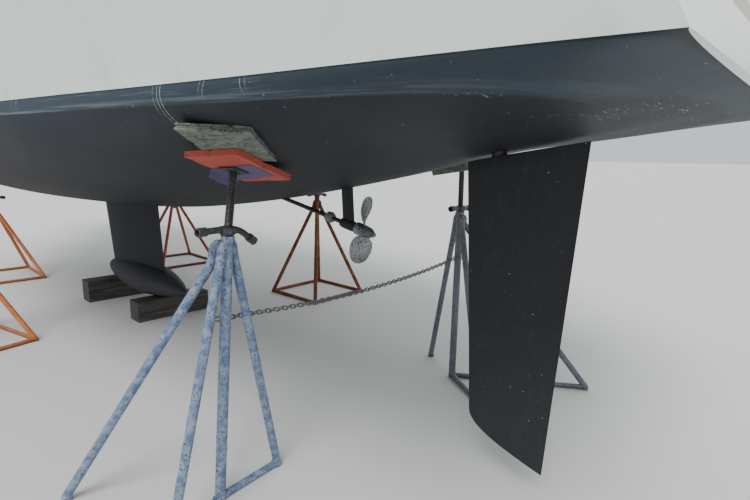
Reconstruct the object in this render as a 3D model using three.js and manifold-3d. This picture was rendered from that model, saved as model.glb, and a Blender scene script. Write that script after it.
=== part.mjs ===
// A fin-keel sailing yacht laid up ashore on two timber keel blocks and six screw stands.
// Millimetres. +X towards the bow, +Y to port, +Z up. The origin is on the ground, under the middle
// of the whole object, on the yacht's centreline.
import * as THREE from 'three';
import { mergeVertices } from 'three/addons/utils/BufferGeometryUtils.js';
import Module from 'manifold-3d';

const wasm = await Module();
wasm.setup();

// Driving dimensions
const GAP = 0.3; // between pieces that touch
const WATERLINE = 2000; // top edge of the antifouling above the ground
const RUDDER_X = -4830; // leading edge of the rudder at the hull, which the other places are taken from
const at = (forwardOfRudder) => RUDDER_X + forwardOfRudder;
const BEAM_EDGE = 12; // how far the deck's edge stands in from the hull's side
const DECK_THICK = 40;
const DECK_CAMBER = 0.055; // rise of the deck's middle over its half beam

// The hull's lines, from transom to stem. keel, water and sheer are places forward of the rudder.
const LINES = [
  // keel, keelZ, water, waterHalf, sheer, sheerHalf, sheerZ, deadrise, fullness, turn
  [-1190, 1996, -1222, 1170, -700, 1400, 3120, 0, 0.9, 0.5],
  [-900, 1920, -900, 1225, -400, 1470, 3120, 0.03, 0.9, 0.4],
  [-480, 1832, -450, 1285, 0, 1540, 3120, 0.07, 0.9, 0.4],
  [0, 1750, 50, 1350, 400, 1600, 3125, 0.11, 0.92, 0.3],
  [600, 1605, 650, 1440, 900, 1675, 3130, 0.155, 0.93, 0.25],
  [1300, 1472, 1300, 1545, 1500, 1760, 3140, 0.17, 0.92, 0.25],
  [2100, 1350, 2100, 1655, 2200, 1840, 3155, 0.19, 0.9, 0.3],
  [3000, 1245, 3000, 1740, 3000, 1900, 3175, 0.2, 0.86, 0.38],
  [4000, 1175, 4000, 1775, 4000, 1935, 3205, 0.21, 0.8, 0.48],
  [5000, 1150, 5000, 1740, 5000, 1910, 3240, 0.23, 0.72, 0.55],
  [6000, 1175, 6000, 1610, 6050, 1830, 3285, 0.28, 0.64, 0.62],
  [7000, 1260, 7000, 1370, 7150, 1670, 3340, 0.35, 0.56, 0.62],
  [7900, 1390, 8000, 1020, 8300, 1380, 3405, 0.48, 0.5, 0.62],
  [8600, 1530, 8850, 645, 9300, 990, 3465, 0.7, 0.45, 0.62],
  [9100, 1660, 9450, 330, 10050, 600, 3510, 1.0, 0.4, 0.62],
  [9400, 1770, 9800, 120, 10600, 250, 3545, 1.4, 0.4, 0.62],
  [9500, 1810, 9930, 25, 10860, 35, 3560, 1.8, 0.4, 0.62],
].map(([keel, keelZ, water, waterHalf, sheer, sheerHalf, sheerZ, deadrise, fullness, turn]) =>
  ({ keel, keelZ, water, waterHalf, sheer, sheerHalf, sheerZ, deadrise, fullness, turn }));
const BOTTOM_STEPS = 8;
const SIDE_STEPS = 3;
const DECK_STEPS = 2;

// Cockpit, cabin and openings, as places forward of the rudder
const COCKPIT = { aft: -350, fore: 2300, half: 1150, floor: 2550, sole: 2620, seat: 3020, rim: 3400,
  wellHalf: 400, seatHalf: 940, helmAft: 60, helmFore: 1080, gateHalf: 330 };
const SCOOP = { half: 750, platform: 2300, stepFrom: -720, step: 2460 };
const CABIN = { aft: 2450, fore: 6700, half: 1050, sole: 1780, wall: 40 };
const DOORWAY = { half: 330, sill: 3020, roofFore: 3000 };
const LOCKER = { aft: 1230, fore: 2130, inner: 440, outer: 880, thick: 25, rim: 60, floor: 2720 };

// Keel, rudder and propeller
const FIN = { topFore: 5290, topAft: 3820, footFore: 5050, footAft: 3700, footZ: 380, topZ: 1500, thick: 190 };
const BULB = { nose: 5180, tail: 3200, height: 330, width: 430, bottom: 195 };
const BLOCKS = [
  // name, forward of the rudder, height, sideways
  ['keel_block_aft', 3800, 212, -80],
  ['keel_block_forward', 4900, 246, 40],
].map(([name, x, height, y]) => ({ name, x, height, y }));
const BLOCK = { length: 780, width: 210 };
const BLADE = { topAft: 620, footFore: 95, footAft: 545, leadFootZ: 315, tipZ: 185, clearance: 12, thick: 100 };
const STOCK = { back: 180, radius: 38, top: 2330 };
const SHAFT = { exit: 1600, exitZ: 1430, hub: 760, hubZ: 1283, radius: 15, inside: 620 };
const PROP = { radius: 222, hubRadius: 42, hubLength: 120, width: 160, thick: 9, pitch: 300 };

// Rig
const MAST = { x: 5620, long: 210, wide: 125, top: 18950, headScale: 0.72, sweep: 0.36,
  spreaders: [[8900, 1120], [13600, 860]] }; // each spreader's height and length
const BOOM = { length: 4550, z: 5050, deep: 180, wide: 100 };
const VANG = { footZ: 3960, reach: 1500, radius: 28 };
const GOOSENECK = { reach: 70, tongue: 40, play: 2, ear: 14, pin: 7 };

// Shapes
function toSolid(geometry) {
  const bare = geometry.clone();
  bare.deleteAttribute('normal');
  bare.deleteAttribute('uv');
  const merged = mergeVertices(bare, 1e-3);
  return new wasm.Manifold(new wasm.Mesh({
    numProp: 3,
    vertProperties: new Float32Array(merged.attributes.position.array),
    triVerts: new Uint32Array(merged.index.array),
  }));
}

function toGeometry(solid) {
  const { vertProperties, triVerts } = solid.getMesh();
  const geometry = new THREE.BufferGeometry();
  geometry.setAttribute('position', new THREE.BufferAttribute(new Float32Array(vertProperties), 3));
  geometry.setIndex(new THREE.BufferAttribute(new Uint32Array(triVerts), 1));
  geometry.computeVertexNormals();
  return geometry;
}

const join = (solids) => solids.reduce((whole, solid) => whole.add(solid));
const move = (solid, x, y, z) => solid.translate([x, y, z]);

// A box from its low and high corners
function box(x0, x1, y0, y1, z0, z1) {
  const geometry = new THREE.BoxGeometry(x1 - x0, y1 - y0, z1 - z0);
  geometry.translate((x0 + x1) / 2, (y0 + y1) / 2, (z0 + z1) / 2);
  return toSolid(geometry);
}

// A round bar between two points, tapering if it has two radii
function bar(from, to, radius, sides = 8, endRadius = radius) {
  const start = new THREE.Vector3(...from);
  const end = new THREE.Vector3(...to);
  const along = end.clone().sub(start);
  const geometry = new THREE.CylinderGeometry(endRadius, radius, along.length(), sides);
  const turn = new THREE.Quaternion().setFromUnitVectors(new THREE.Vector3(0, 1, 0), along.normalize());
  geometry.applyQuaternion(turn);
  geometry.translate((from[0] + to[0]) / 2, (from[1] + to[1]) / 2, (from[2] + to[2]) / 2);
  return toSolid(geometry);
}

// A bent tube through points
function bentTube(points, radius, steps, sides = 8) {
  const path = new THREE.CatmullRomCurve3(points.map((p) => new THREE.Vector3(...p)), false, 'centripetal');
  const section = new THREE.Shape();
  section.absarc(0, 0, radius, 0, 2 * Math.PI, false);
  return toSolid(new THREE.ExtrudeGeometry(section, { steps, curveSegments: sides, extrudePath: path }));
}

// A closed skin over rings of points, each ring with the same number of points
function loft(rings) {
  const count = rings[0].length;
  const positions = rings.flat(2);
  const triangles = [];
  // A cap keeps the ring's own order where sameOrder is true, and turns it round otherwise
  const cap = (ring, first, sameOrder) => {
    const flat = ring.map((p) => new THREE.Vector2(p[1], p[2]));
    const ringTurn = Math.sign(THREE.ShapeUtils.area(flat));
    for (const face of THREE.ShapeUtils.triangulateShape(flat, [])) {
      const faceTurn = Math.sign(THREE.ShapeUtils.area(face.map((i) => flat[i])));
      const [a, b, c] = face.map((i) => first + i);
      triangles.push(...((faceTurn === ringTurn) === sameOrder ? [a, b, c] : [a, c, b]));
    }
  };
  for (let row = 0; row + 1 < rings.length; row += 1) {
    for (let i = 0; i < count; i += 1) {
      const next = (i + 1) % count;
      const [a, b, c, d] = [row * count + i, row * count + next, (row + 1) * count + next, (row + 1) * count + i];
      triangles.push(a, b, c, a, c, d);
    }
  }
  cap(rings[0], 0, false);
  cap(rings.at(-1), (rings.length - 1) * count, true);
  const geometry = new THREE.BufferGeometry();
  geometry.setAttribute('position', new THREE.Float32BufferAttribute(positions, 3));
  geometry.setIndex(triangles);
  const solid = toSolid(geometry);
  if (solid.volume() > 0) return solid;
  geometry.setIndex(triangles.map((_, i) => triangles[i - (i % 3) + [0, 2, 1][i % 3]]));
  return toSolid(geometry);
}

const bezier = (t, ...p) => (p.length === 1 ? p[0]
  : bezier(t, ...p.slice(1).map((v, i) => p[i] + (v - p[i]) * t)));

// One half section of the hull, from the keel up to the sheer
function halfSection(line, extra = 0) {
  const { keel, keelZ, water, waterHalf, sheer, sheerHalf, sheerZ, deadrise, fullness, turn } = line;
  const half = waterHalf * fullness;
  const points = [];
  for (let i = 0; i <= BOTTOM_STEPS; i += 1) {
    const t = i / BOTTOM_STEPS;
    points.push([
      at(bezier(t, keel, water)),
      bezier(t, 0, half, waterHalf * 0.995, waterHalf),
      bezier(t, keelZ, keelZ + deadrise * half * 0.6, WATERLINE - turn * (WATERLINE - keelZ), WATERLINE),
    ]);
  }
  for (let i = 1; i <= SIDE_STEPS; i += 1) {
    const t = i / SIDE_STEPS;
    points.push([
      at(bezier(t, water, sheer)),
      bezier(t, waterHalf, waterHalf + 0.62 * (sheerHalf - waterHalf), sheerHalf),
      bezier(t, WATERLINE, sheerZ) + extra * t,
    ]);
  }
  return points;
}

const deckRise = (line) => DECK_CAMBER * line.sheerHalf;

// The deck's height at a place across a section
const deckZ = (line, y) => line.sheerZ + deckRise(line) * (1 - (y / line.sheerHalf) ** 2);

// The whole section: both halves, closed by the cambered deck line
function hullRing(line, lift = 0) {
  const side = halfSection(line);
  const deck = [];
  for (let i = 1; i < DECK_STEPS; i += 1) {
    const y = line.sheerHalf * (1 - i / DECK_STEPS);
    deck.push([at(line.sheer), y, deckZ(line, y)]);
  }
  const top = [at(line.sheer), 0, deckZ(line, 0)];
  const port = [...side, ...deck];
  const ring = [...port, top, ...port.slice(1).reverse().map(([x, y, z]) => [x, -y, z])];
  return ring.map(([x, y, z], i) => {
    const onDeck = i >= side.length - 1 && i <= ring.length - side.length + 1;
    return [x, y, z + (onDeck ? lift : 0)];
  });
}

const hullLoft = (lift) => loft(LINES.map((line) => hullRing(line, lift)));

// The deck stands in a little from the hull's side, and ends at the top of the transom
function deckPlate() {
  const footprint = loft(LINES.map((line) => {
    const edge = Math.max(line.sheerHalf - BEAM_EDGE, 15);
    const x = at(line.sheer);
    return [[x, edge, 3000], [x, edge, 5000], [x, -edge, 5000], [x, -edge, 3000]];
  }));
  return footprint.intersect(hullLoft(DECK_THICK)).subtract(hullLoft(GAP));
}

// Hull height under a place forward of the rudder and across
function bottomZ(x, y) {
  const row = LINES.findIndex((line, i) => i + 1 < LINES.length && x <= LINES[i + 1].keel);
  const t = (x - LINES[row].keel) / (LINES[row + 1].keel - LINES[row].keel);
  const [low, high] = [halfSection(LINES[row]), halfSection(LINES[row + 1])];
  const curve = low.map((p, i) => p.map((v, k) => v + (high[i][k] - v) * t));
  const i = curve.findIndex((point, k) => k > 0 && point[1] >= Math.abs(y));
  const s = (Math.abs(y) - curve[i - 1][1]) / (curve[i][1] - curve[i - 1][1]);
  return curve[i - 1][2] + (curve[i][2] - curve[i - 1][2]) * s;
}

// Nodes
const yacht = new THREE.Group();
const COLOURS = {
  gelcoat: [0xd6d5c6, 0.35, 0], deck: [0xd9d6ca, 0.6, 0], antifouling: [0x24272b, 0.8, 0],
  steel: [0xb9bcc0, 0.3, 1], bronze: [0x6f6a5a, 0.6, 0.6], alloy: [0xc4c7ca, 0.4, 0.9],
  iron: [0x3a3f45, 0.7, 0.4], timber: [0x3b3733, 0.9, 0], board: [0x6b7263, 0.9, 0],
  blue: [0x8fb0d2, 0.6, 0], orange: [0xc96a2c, 0.7, 0], rust: [0x8a4c2a, 0.8, 0], grey: [0x7d8184, 0.6, 0.3],
  red: [0xa03a2a, 0.7, 0], glass: [0x15191c, 0.1, 0], teak: [0x8a6a48, 0.8, 0],
};
function piece(name, solid, colour, parent = yacht) {
  const [color, roughness, metalness] = COLOURS[colour];
  const mesh = new THREE.Mesh(toGeometry(solid), new THREE.MeshStandardMaterial({ color, roughness, metalness }));
  mesh.name = name;
  parent.add(mesh);
  return mesh;
}

// Hull, with its wells and bores
const wholeHull = hullLoft(0);
const underDeck = hullLoft(DECK_THICK + GAP);
const cockpitHole = box(at(COCKPIT.aft) - GAP, at(COCKPIT.fore) + GAP, -COCKPIT.half - GAP, COCKPIT.half + GAP,
  COCKPIT.floor - GAP, 5000);
const scoopHole = join([
  box(at(-2000), at(SCOOP.stepFrom), -SCOOP.half, SCOOP.half, SCOOP.platform, 5000),
  box(at(-2000), at(COCKPIT.aft), -SCOOP.half, SCOOP.half, SCOOP.step, 5000),
]);
const doorHole = box(at(COCKPIT.fore) - 1, at(DOORWAY.roofFore), -DOORWAY.half, DOORWAY.half, DOORWAY.sill, 5000);

// The coachroof's outside and inside, as rings from aft to fore
const ROOF = [
  // forward of the rudder, half width at the foot, half width at the top, height of the top
  [2320, 1110, 970, 3700],
  [3900, 1120, 980, 3720],
  [5400, 1060, 910, 3690],
  [6600, 890, 730, 3600],
  [7400, 700, 540, 3500],
  [8150, 480, 330, 3360],
].map(([x, foot, top, z]) => ({ x, foot, top, z }));
const ROOF_CROWN = 45;
const roofRing = ({ x, foot, top, z }, inset, base) => {
  const half = [[foot - inset, base], [top + 20 - inset, z - 60 - inset], [top - 50 - inset, z - inset],
    [top / 2, z + ROOF_CROWN * 0.75 - inset]];
  return [...half.map(([y, h]) => [at(x), y, h]), [at(x), 0, z + ROOF_CROWN - inset],
    ...half.reverse().map(([y, h]) => [at(x), -y, h])];
};
const roofOutside = loft(ROOF.map((row) => roofRing(row, 0, 2900)));
const roofInside = loft(ROOF.map((row, i) => {
  const x = i === 0 ? row.x + CABIN.wall : row.x;
  return roofRing({ ...row, x }, CABIN.wall, 2880);
}));
const cabinSide = ROOF.filter((row) => row.x < CABIN.fore);
const cabinHole = loft([...cabinSide, { ...cabinSide.at(-1), x: CABIN.fore }].map((row, i) => {
  const x = at(i === 0 ? CABIN.aft : row.x);
  const half = Math.min(row.foot - 2 * CABIN.wall, CABIN.half);
  return [[x, half, CABIN.sole], [x, half, 5000], [x, -half, 5000], [x, -half, CABIN.sole]];
}));

const FORE_HATCH = { x: 8300, half: 270, rim: 30, hole: 220, depth: 2900 };
const LOCKER_HATCH = { x: 9560, half: 190, rim: 20, hole: 140, depth: 3050 };
const SALOON_HATCH = { x: 4300, half: 280, rim: 35, hole: 230, depth: 3300 };
const HATCH_THICK = 32;
const hatchHole = (h) => box(at(h.x - h.hole), at(h.x + h.hole), -h.hole, h.hole, h.depth, 5000);
const lineAt = (x) => {
  const row = LINES.findIndex((line, i) => x <= LINES[i + 1].sheer);
  const t = (x - LINES[row].sheer) / (LINES[row + 1].sheer - LINES[row].sheer);
  return { sheerHalf: LINES[row].sheerHalf + t * (LINES[row + 1].sheerHalf - LINES[row].sheerHalf),
    sheerZ: LINES[row].sheerZ + t * (LINES[row + 1].sheerZ - LINES[row].sheerZ) };
};
const roofTop = (x) => {
  const row = ROOF.findIndex((r, i) => x <= ROOF[i + 1].x);
  const t = (x - ROOF[row].x) / (ROOF[row + 1].x - ROOF[row].x);
  return ROOF[row].z + t * (ROOF[row + 1].z - ROOF[row].z) + ROOF_CROWN;
};
const deckTop = (x) => deckZ(lineAt(x), 0) + DECK_THICK;
const rimTop = (h, top) => Math.max(top(h.x - h.half), top(h.x + h.half)) + h.rim;
const hatchRim = (h, top) => box(at(h.x - h.half), at(h.x + h.half), -h.half, h.half, top(h.x) - 30, rimTop(h, top));

const shaftDirection = new THREE.Vector3(SHAFT.exit - SHAFT.hub, 0, SHAFT.exitZ - SHAFT.hubZ).normalize();
const onShaft = (distance) => [at(SHAFT.hub) + shaftDirection.x * distance, 0, SHAFT.hubZ + shaftDirection.z * distance];
const shaftLength = Math.hypot(SHAFT.exit - SHAFT.hub, SHAFT.exitZ - SHAFT.hubZ) + SHAFT.inside;
const stockX = at(-STOCK.back);
const ENGINE = { aft: 2500, fore: 3300, half: 250, low: 1600, high: 2180 };
const engineBay = box(at(ENGINE.aft - 40), at(ENGINE.fore + 40), -ENGINE.half - 60, ENGINE.half + 60, ENGINE.low - GAP, 2900);

const hull = wholeHull
  .subtract(cockpitHole)
  .subtract(scoopHole)
  .subtract(doorHole)
  .subtract(cabinHole)
  .subtract(engineBay)
  .subtract(hatchHole(FORE_HATCH))
  .subtract(hatchHole(LOCKER_HATCH))
  .subtract(bar([stockX, 0, 1000], [stockX, 0, STOCK.top + 10], STOCK.radius + 0.8, 16))
  .subtract(bar(onShaft(300), onShaft(shaftLength + 10), SHAFT.radius + 3, 12));
// The hull is parted at the cabin's two ends, so that each length of it is a plain trough or a plain block
const HULL_PARTS = [
  // name, from, to
  ['hull_aft', -3000, CABIN.aft - GAP],
  ['hull_middle', CABIN.aft, CABIN.fore],
  ['hull_forward', CABIN.fore + GAP, 12000],
];
for (const [name, from, to] of HULL_PARTS) {
  piece(name, hull.intersect(box(at(from), at(to), -3000, 3000, 0, 6000)), 'gelcoat');
}

const deck = deckPlate()
  .add(hatchRim(FORE_HATCH, deckTop).intersect(box(-9999, 9999, -999, 999, 0, 9999)).subtract(hullLoft(5)))
  .add(hatchRim(LOCKER_HATCH, deckTop).subtract(hullLoft(5)))
  .subtract(cockpitHole)
  .subtract(scoopHole)
  .subtract(doorHole)
  .subtract(cabinHole)
  .subtract(hatchHole(FORE_HATCH))
  .subtract(hatchHole(LOCKER_HATCH));
piece('deck', deck, 'deck');

// Coachroof, its windows and panes
const WINDOWS = [
  // name, aft end, fore end, low edge, high edge
  ['aft', 2850, 4250, 3420, 3590],
  ['forward', 4450, 5750, 3420, 3570],
].map(([name, aft, fore, low, high]) => ({ name, aft, fore, low, high }));
const roofShell = roofOutside.subtract(roofInside).subtract(underDeck)
  .subtract(box(at(2000), at(COCKPIT.fore + GAP), -3000, 3000, 2000, 5000));
const windowHole = (w, side, shrink = 0) => box(at(w.aft + shrink), at(w.fore - shrink),
  side > 0 ? 600 : -1400, side > 0 ? 1400 : -600, w.low + shrink, w.high - shrink);
let coachroof = roofShell
  .add(hatchRim(SALOON_HATCH, roofTop))
  .subtract(hatchHole(SALOON_HATCH))
  .subtract(doorHole);
const PLINTH = { x: 5620, long: 380, wide: 260, height: 30 };
const plinthTop = roofTop(PLINTH.x - PLINTH.long / 2) + PLINTH.height;
coachroof = coachroof.add(box(at(PLINTH.x - PLINTH.long / 2), at(PLINTH.x + PLINTH.long / 2), -PLINTH.wide / 2,
  PLINTH.wide / 2, roofTop(PLINTH.x) - 60, plinthTop));
const RUNNER = { half: 360, wide: 30, fore: 3750, lift: 28 };
const runnerTop = roofTop(2400) + RUNNER.lift;
for (const side of [-1, 1]) {
  const y = side * (RUNNER.half - RUNNER.wide / 2);
  coachroof = coachroof.add(box(at(COCKPIT.fore + GAP), at(RUNNER.fore), y - RUNNER.wide / 2, y + RUNNER.wide / 2,
    3690, runnerTop));
  for (const w of WINDOWS) {
    const sideName = side > 0 ? 'port' : 'starboard';
    piece(`window_${w.name}_${sideName}`, roofShell.intersect(windowHole(w, side, GAP)), 'glass');
    coachroof = coachroof.subtract(windowHole(w, side));
  }
}
piece('coachroof', coachroof, 'deck');

// Companionway hatch and doors
const SLIDE = { aft: 2330, fore: 3080, half: 370, thick: 35 };
piece('companionway_hatch', box(at(SLIDE.aft), at(SLIDE.fore), -SLIDE.half, SLIDE.half, runnerTop + GAP,
  runnerTop + GAP + SLIDE.thick), 'glass');
const DOOR = { aft: 2330, thick: 20, edge: 325, middle: 3, low: 6, pinX: 2313.7, pinY: 332, knuckle: 6, strapFrom: 290,
  strapsAt: [3325, 3610], strapHigh: 40 };
for (const [sideName, side] of [['port', 1], ['starboard', -1]]) {
  const across = (from, to) => (side > 0 ? [from, to] : [-to, -from]);
  const straps = DOOR.strapsAt.map((z) => join([
    box(at(2310), at(2319.5), ...across(DOOR.strapFrom, DOOR.pinY), z, z + DOOR.strapHigh),
    box(at(2318), at(DOOR.aft + 2), ...across(DOOR.strapFrom, DOOR.edge - 3), z, z + DOOR.strapHigh),
    bar([at(DOOR.pinX), side * DOOR.pinY, z - 8], [at(DOOR.pinX), side * DOOR.pinY, z + DOOR.strapHigh + 8],
      DOOR.knuckle, 12),
  ]));
  piece(`companionway_door_${sideName}`, join([
    box(at(DOOR.aft), at(DOOR.aft + DOOR.thick), ...across(DOOR.middle, DOOR.edge), DOORWAY.sill + DOOR.low,
      runnerTop - 6),
    ...straps,
  ]), 'teak');
}

// Cockpit moulding with seats, coamings, a helm well and a gate to the platform
const C = COCKPIT;
let cockpit = box(at(C.aft), at(C.fore), -C.half, C.half, C.floor, C.rim)
  .subtract(box(at(C.helmFore), at(C.fore - 40), -C.wellHalf, C.wellHalf, C.sole, 5000))
  .subtract(box(at(C.helmFore), at(C.fore + 10), -C.seatHalf, C.seatHalf, C.seat, 5000))
  .subtract(box(at(C.helmAft), at(C.helmFore + 10), -C.seatHalf, C.seatHalf, C.sole, 5000))
  .subtract(box(at(C.aft - 10), at(C.helmAft + 10), -C.gateHalf, C.gateHalf, C.sole, 5000))
  .subtract(box(at(C.aft - 10), at(C.helmAft + 10), -C.seatHalf, C.seatHalf, C.seat + 60, 5000));
for (const side of [-1, 1]) {
  const span = (a, b) => (side > 0 ? [a, b] : [-b, -a]);
  cockpit = cockpit
    .subtract(box(at(LOCKER.aft), at(LOCKER.fore), ...span(LOCKER.inner, LOCKER.outer), C.seat - LOCKER.thick, 3500))
    .subtract(box(at(LOCKER.aft + LOCKER.rim), at(LOCKER.fore - LOCKER.rim),
      ...span(LOCKER.inner + LOCKER.rim, LOCKER.outer - LOCKER.rim), LOCKER.floor, 3500));
}
piece('cockpit', cockpit, 'deck');
for (const [sideName, side] of [['port', 1], ['starboard', -1]]) {
  const inner = LOCKER.inner + 4;
  const outer = LOCKER.outer - GAP;
  const lid = box(at(LOCKER.aft + 4), at(LOCKER.fore - 4), side > 0 ? inner : -outer, side > 0 ? outer : -inner,
    C.seat - LOCKER.thick + GAP, C.seat);
  piece(`locker_lid_${sideName}`, lid, 'teak');
}

// Hatch lids
const hatchLid = (name, h, top) => piece(name, box(at(h.x - h.half), at(h.x + h.half), -h.half, h.half,
  rimTop(h, top) + GAP, rimTop(h, top) + GAP + HATCH_THICK), 'glass');
hatchLid('fore_hatch', FORE_HATCH, deckTop);
hatchLid('saloon_hatch', SALOON_HATCH, roofTop);
hatchLid('anchor_locker_lid', LOCKER_HATCH, deckTop);

// Engine: one plain block on the bay's floor
piece('engine', box(at(ENGINE.aft), at(ENGINE.fore), -ENGINE.half, ENGINE.half, ENGINE.low, ENGINE.high), 'iron');

// Keel
const foil = (leading, trailing, z, thick, count = 7) => {
  const chord = leading - trailing;
  const ring = [];
  for (let i = 0; i <= count; i += 1) {
    const s = (1 - Math.cos((Math.PI * i) / count)) / 2;
    const half = thick * (1.4845 * Math.sqrt(s) - 0.63 * s - 1.758 * s * s + 1.4215 * s ** 3 - 0.518 * s ** 4);
    ring.push([leading - s * chord, Math.max(half, i === 0 ? 0 : 2), z]);
  }
  return [...ring, ...ring.slice(1).reverse().map(([x, y, h]) => [x, -y, h])];
};
// A skin over rings that lie flat, one above the other
function upright(rings) {
  const turned = rings.map((ring) => ring.map(([x, y, z]) => [z, x, y]));
  const solid = loft(turned);
  return solid.transform([0, 0, 1, 0, 1, 0, 0, 0, 0, 1, 0, 0, 0, 0, 0, 1]);
}
const bulbRings = [];
const BULB_STEPS = 9;
for (let i = 0; i <= BULB_STEPS; i += 1) {
  const s = i / BULB_STEPS;
  const x = BULB.nose - s * (BULB.nose - BULB.tail);
  const round = Math.max(Math.sin(Math.PI * Math.min(s * 1.9, 1) / 2) ** 0.5 * (s < 0.55 ? 1 : 1 - ((s - 0.55) / 0.45) ** 1.7), 0.06);
  const middle = BULB.bottom + BULB.height / 2 + 55 * Math.max(0, 0.25 - s);
  const ring = [];
  for (let k = 0; k < 12; k += 1) {
    const a = (2 * Math.PI * k) / 12;
    ring.push([at(x), (BULB.width / 2) * round * Math.cos(a), middle + (BULB.height / 2) * round * Math.sin(a)]);
  }
  bulbRings.push(ring);
}
const bulb = loft(bulbRings);
const fin = upright([
  foil(at(FIN.footFore), at(FIN.footAft), FIN.footZ, FIN.thick * 0.9),
  foil(at(FIN.topFore), at(FIN.topAft), FIN.topZ, FIN.thick),
]).subtract(move(wholeHull, 0, 0, -GAP)).subtract(move(bulb, 0, 0, GAP));
piece('keel_fin', fin, 'antifouling');
piece('keel_bulb', bulb, 'antifouling');
for (const { name, x, height, y } of BLOCKS) {
  const block = box(at(x) - BLOCK.width / 2, at(x) + BLOCK.width / 2, y - BLOCK.length / 2, y + BLOCK.length / 2, 0, height);
  piece(name, block.subtract(move(bulb, 0, 0, -GAP)), 'timber');
}

// Rudder blade and stock
const bladeTop = (back) => bottomZ(-back, 0) - BLADE.clearance;
const blade = upright([
  foil(at(-BLADE.footFore), at(-BLADE.footAft), BLADE.tipZ - 100, BLADE.thick * 0.6),
  foil(at(0), at(-BLADE.topAft), 2000, BLADE.thick),
]);
const BLADE_CORNER = 60;
const bladeSide = new THREE.Shape();
bladeSide.moveTo(at(60), bladeTop(0) - 14);
bladeSide.lineTo(at(-BLADE.topAft - 60), bladeTop(BLADE.topAft));
bladeSide.lineTo(at(-BLADE.footAft - 60), BLADE.tipZ);
bladeSide.lineTo(at(-BLADE.footAft + 20), BLADE.tipZ);
bladeSide.quadraticCurveTo(at(-BLADE.footFore - BLADE_CORNER), BLADE.leadFootZ - 55, at(-BLADE.footFore), BLADE.leadFootZ + 60);
bladeSide.lineTo(at(60), BLADE.leadFootZ + 120);
const sideCut = new THREE.ExtrudeGeometry(bladeSide, { depth: 400, bevelEnabled: false, curveSegments: 6 });
sideCut.rotateX(Math.PI / 2);
sideCut.translate(0, 200, 0);
const bladeStockHole = bar([stockX, 0, 1200], [stockX, 0, 2600], STOCK.radius + GAP, 16);
piece('rudder_blade', blade.intersect(toSolid(sideCut)).subtract(bladeStockHole), 'antifouling');
piece('rudder_stock', bar([stockX, 0, 1200 + GAP], [stockX, 0, STOCK.top], STOCK.radius, 16), 'steel');

// Propeller shaft, its anode, its bracket and the propeller
piece('propeller_shaft', bar(onShaft(PROP.hubLength / 2 + GAP), onShaft(shaftLength), SHAFT.radius, 12), 'steel');
const ANODE = { from: 290, length: 70, radius: 36 };
piece('shaft_anode', bar(onShaft(ANODE.from), onShaft(ANODE.from + ANODE.length), ANODE.radius, 12)
  .subtract(bar(onShaft(ANODE.from - 10), onShaft(ANODE.from + ANODE.length + 10), SHAFT.radius + GAP, 12)), 'grey');
const BRACKET = { from: 72, length: 130, radius: 34, chord: 105, thick: 22, lean: 48 };
const strutFoot = onShaft(BRACKET.from + BRACKET.length / 2);
const strut = upright([
  foil(strutFoot[0] + BRACKET.chord / 2, strutFoot[0] - BRACKET.chord / 2, strutFoot[2], BRACKET.thick, 5),
  foil(strutFoot[0] + BRACKET.lean + BRACKET.chord / 2, strutFoot[0] + BRACKET.lean - BRACKET.chord / 2, 1900, BRACKET.thick, 5),
]);
piece('shaft_bracket', strut.add(bar(onShaft(BRACKET.from), onShaft(BRACKET.from + BRACKET.length), BRACKET.radius, 12))
  .subtract(bar(onShaft(BRACKET.from - 10), onShaft(BRACKET.from + BRACKET.length + 10), SHAFT.radius + 0.7, 12))
  .subtract(move(wholeHull, 0, 0, -GAP)), 'bronze');

// One propeller blade, as rings along its own length, twisted to its pitch
function propellerBlade(side) {
  const rings = [];
  const steps = 6;
  for (let i = 0; i <= steps; i += 1) {
    const s = i / steps;
    const r = PROP.hubRadius * 0.6 + s * (PROP.radius - PROP.hubRadius * 0.6);
    const width = Math.max(PROP.width * Math.sqrt(Math.max(0, 1 - (2 * s - 1.05) ** 2)), 30);
    const angle = Math.atan2(PROP.pitch, 2 * Math.PI * r);
    const ring = [];
    for (let k = 0; k < 8; k += 1) {
      const a = (2 * Math.PI * k) / 8;
      const u = (width / 2) * Math.cos(a);
      const v = (PROP.thick / 2) * Math.sin(a) * (1.6 - s);
      ring.push([u * Math.sin(angle) + v * Math.cos(angle), side * (v * Math.sin(angle) - u * Math.cos(angle)), side * r]);
    }
    rings.push(ring);
  }
  return upright(rings);
}
const propeller = join([
  bar([-PROP.hubLength / 2, 0, 0], [PROP.hubLength / 2, 0, 0], PROP.hubRadius * 0.8, 12, PROP.hubRadius),
  bar([-PROP.hubLength / 2 - 45, 0, 0], [-PROP.hubLength / 2, 0, 0], 14, 12, PROP.hubRadius * 0.8),
  propellerBlade(1),
  propellerBlade(-1),
]);
const propellerMesh = piece('propeller', propeller, 'bronze');
propellerMesh.position.set(at(SHAFT.hub), 0, SHAFT.hubZ);
propellerMesh.rotation.y = -Math.atan2(shaftDirection.z, shaftDirection.x);

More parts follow.
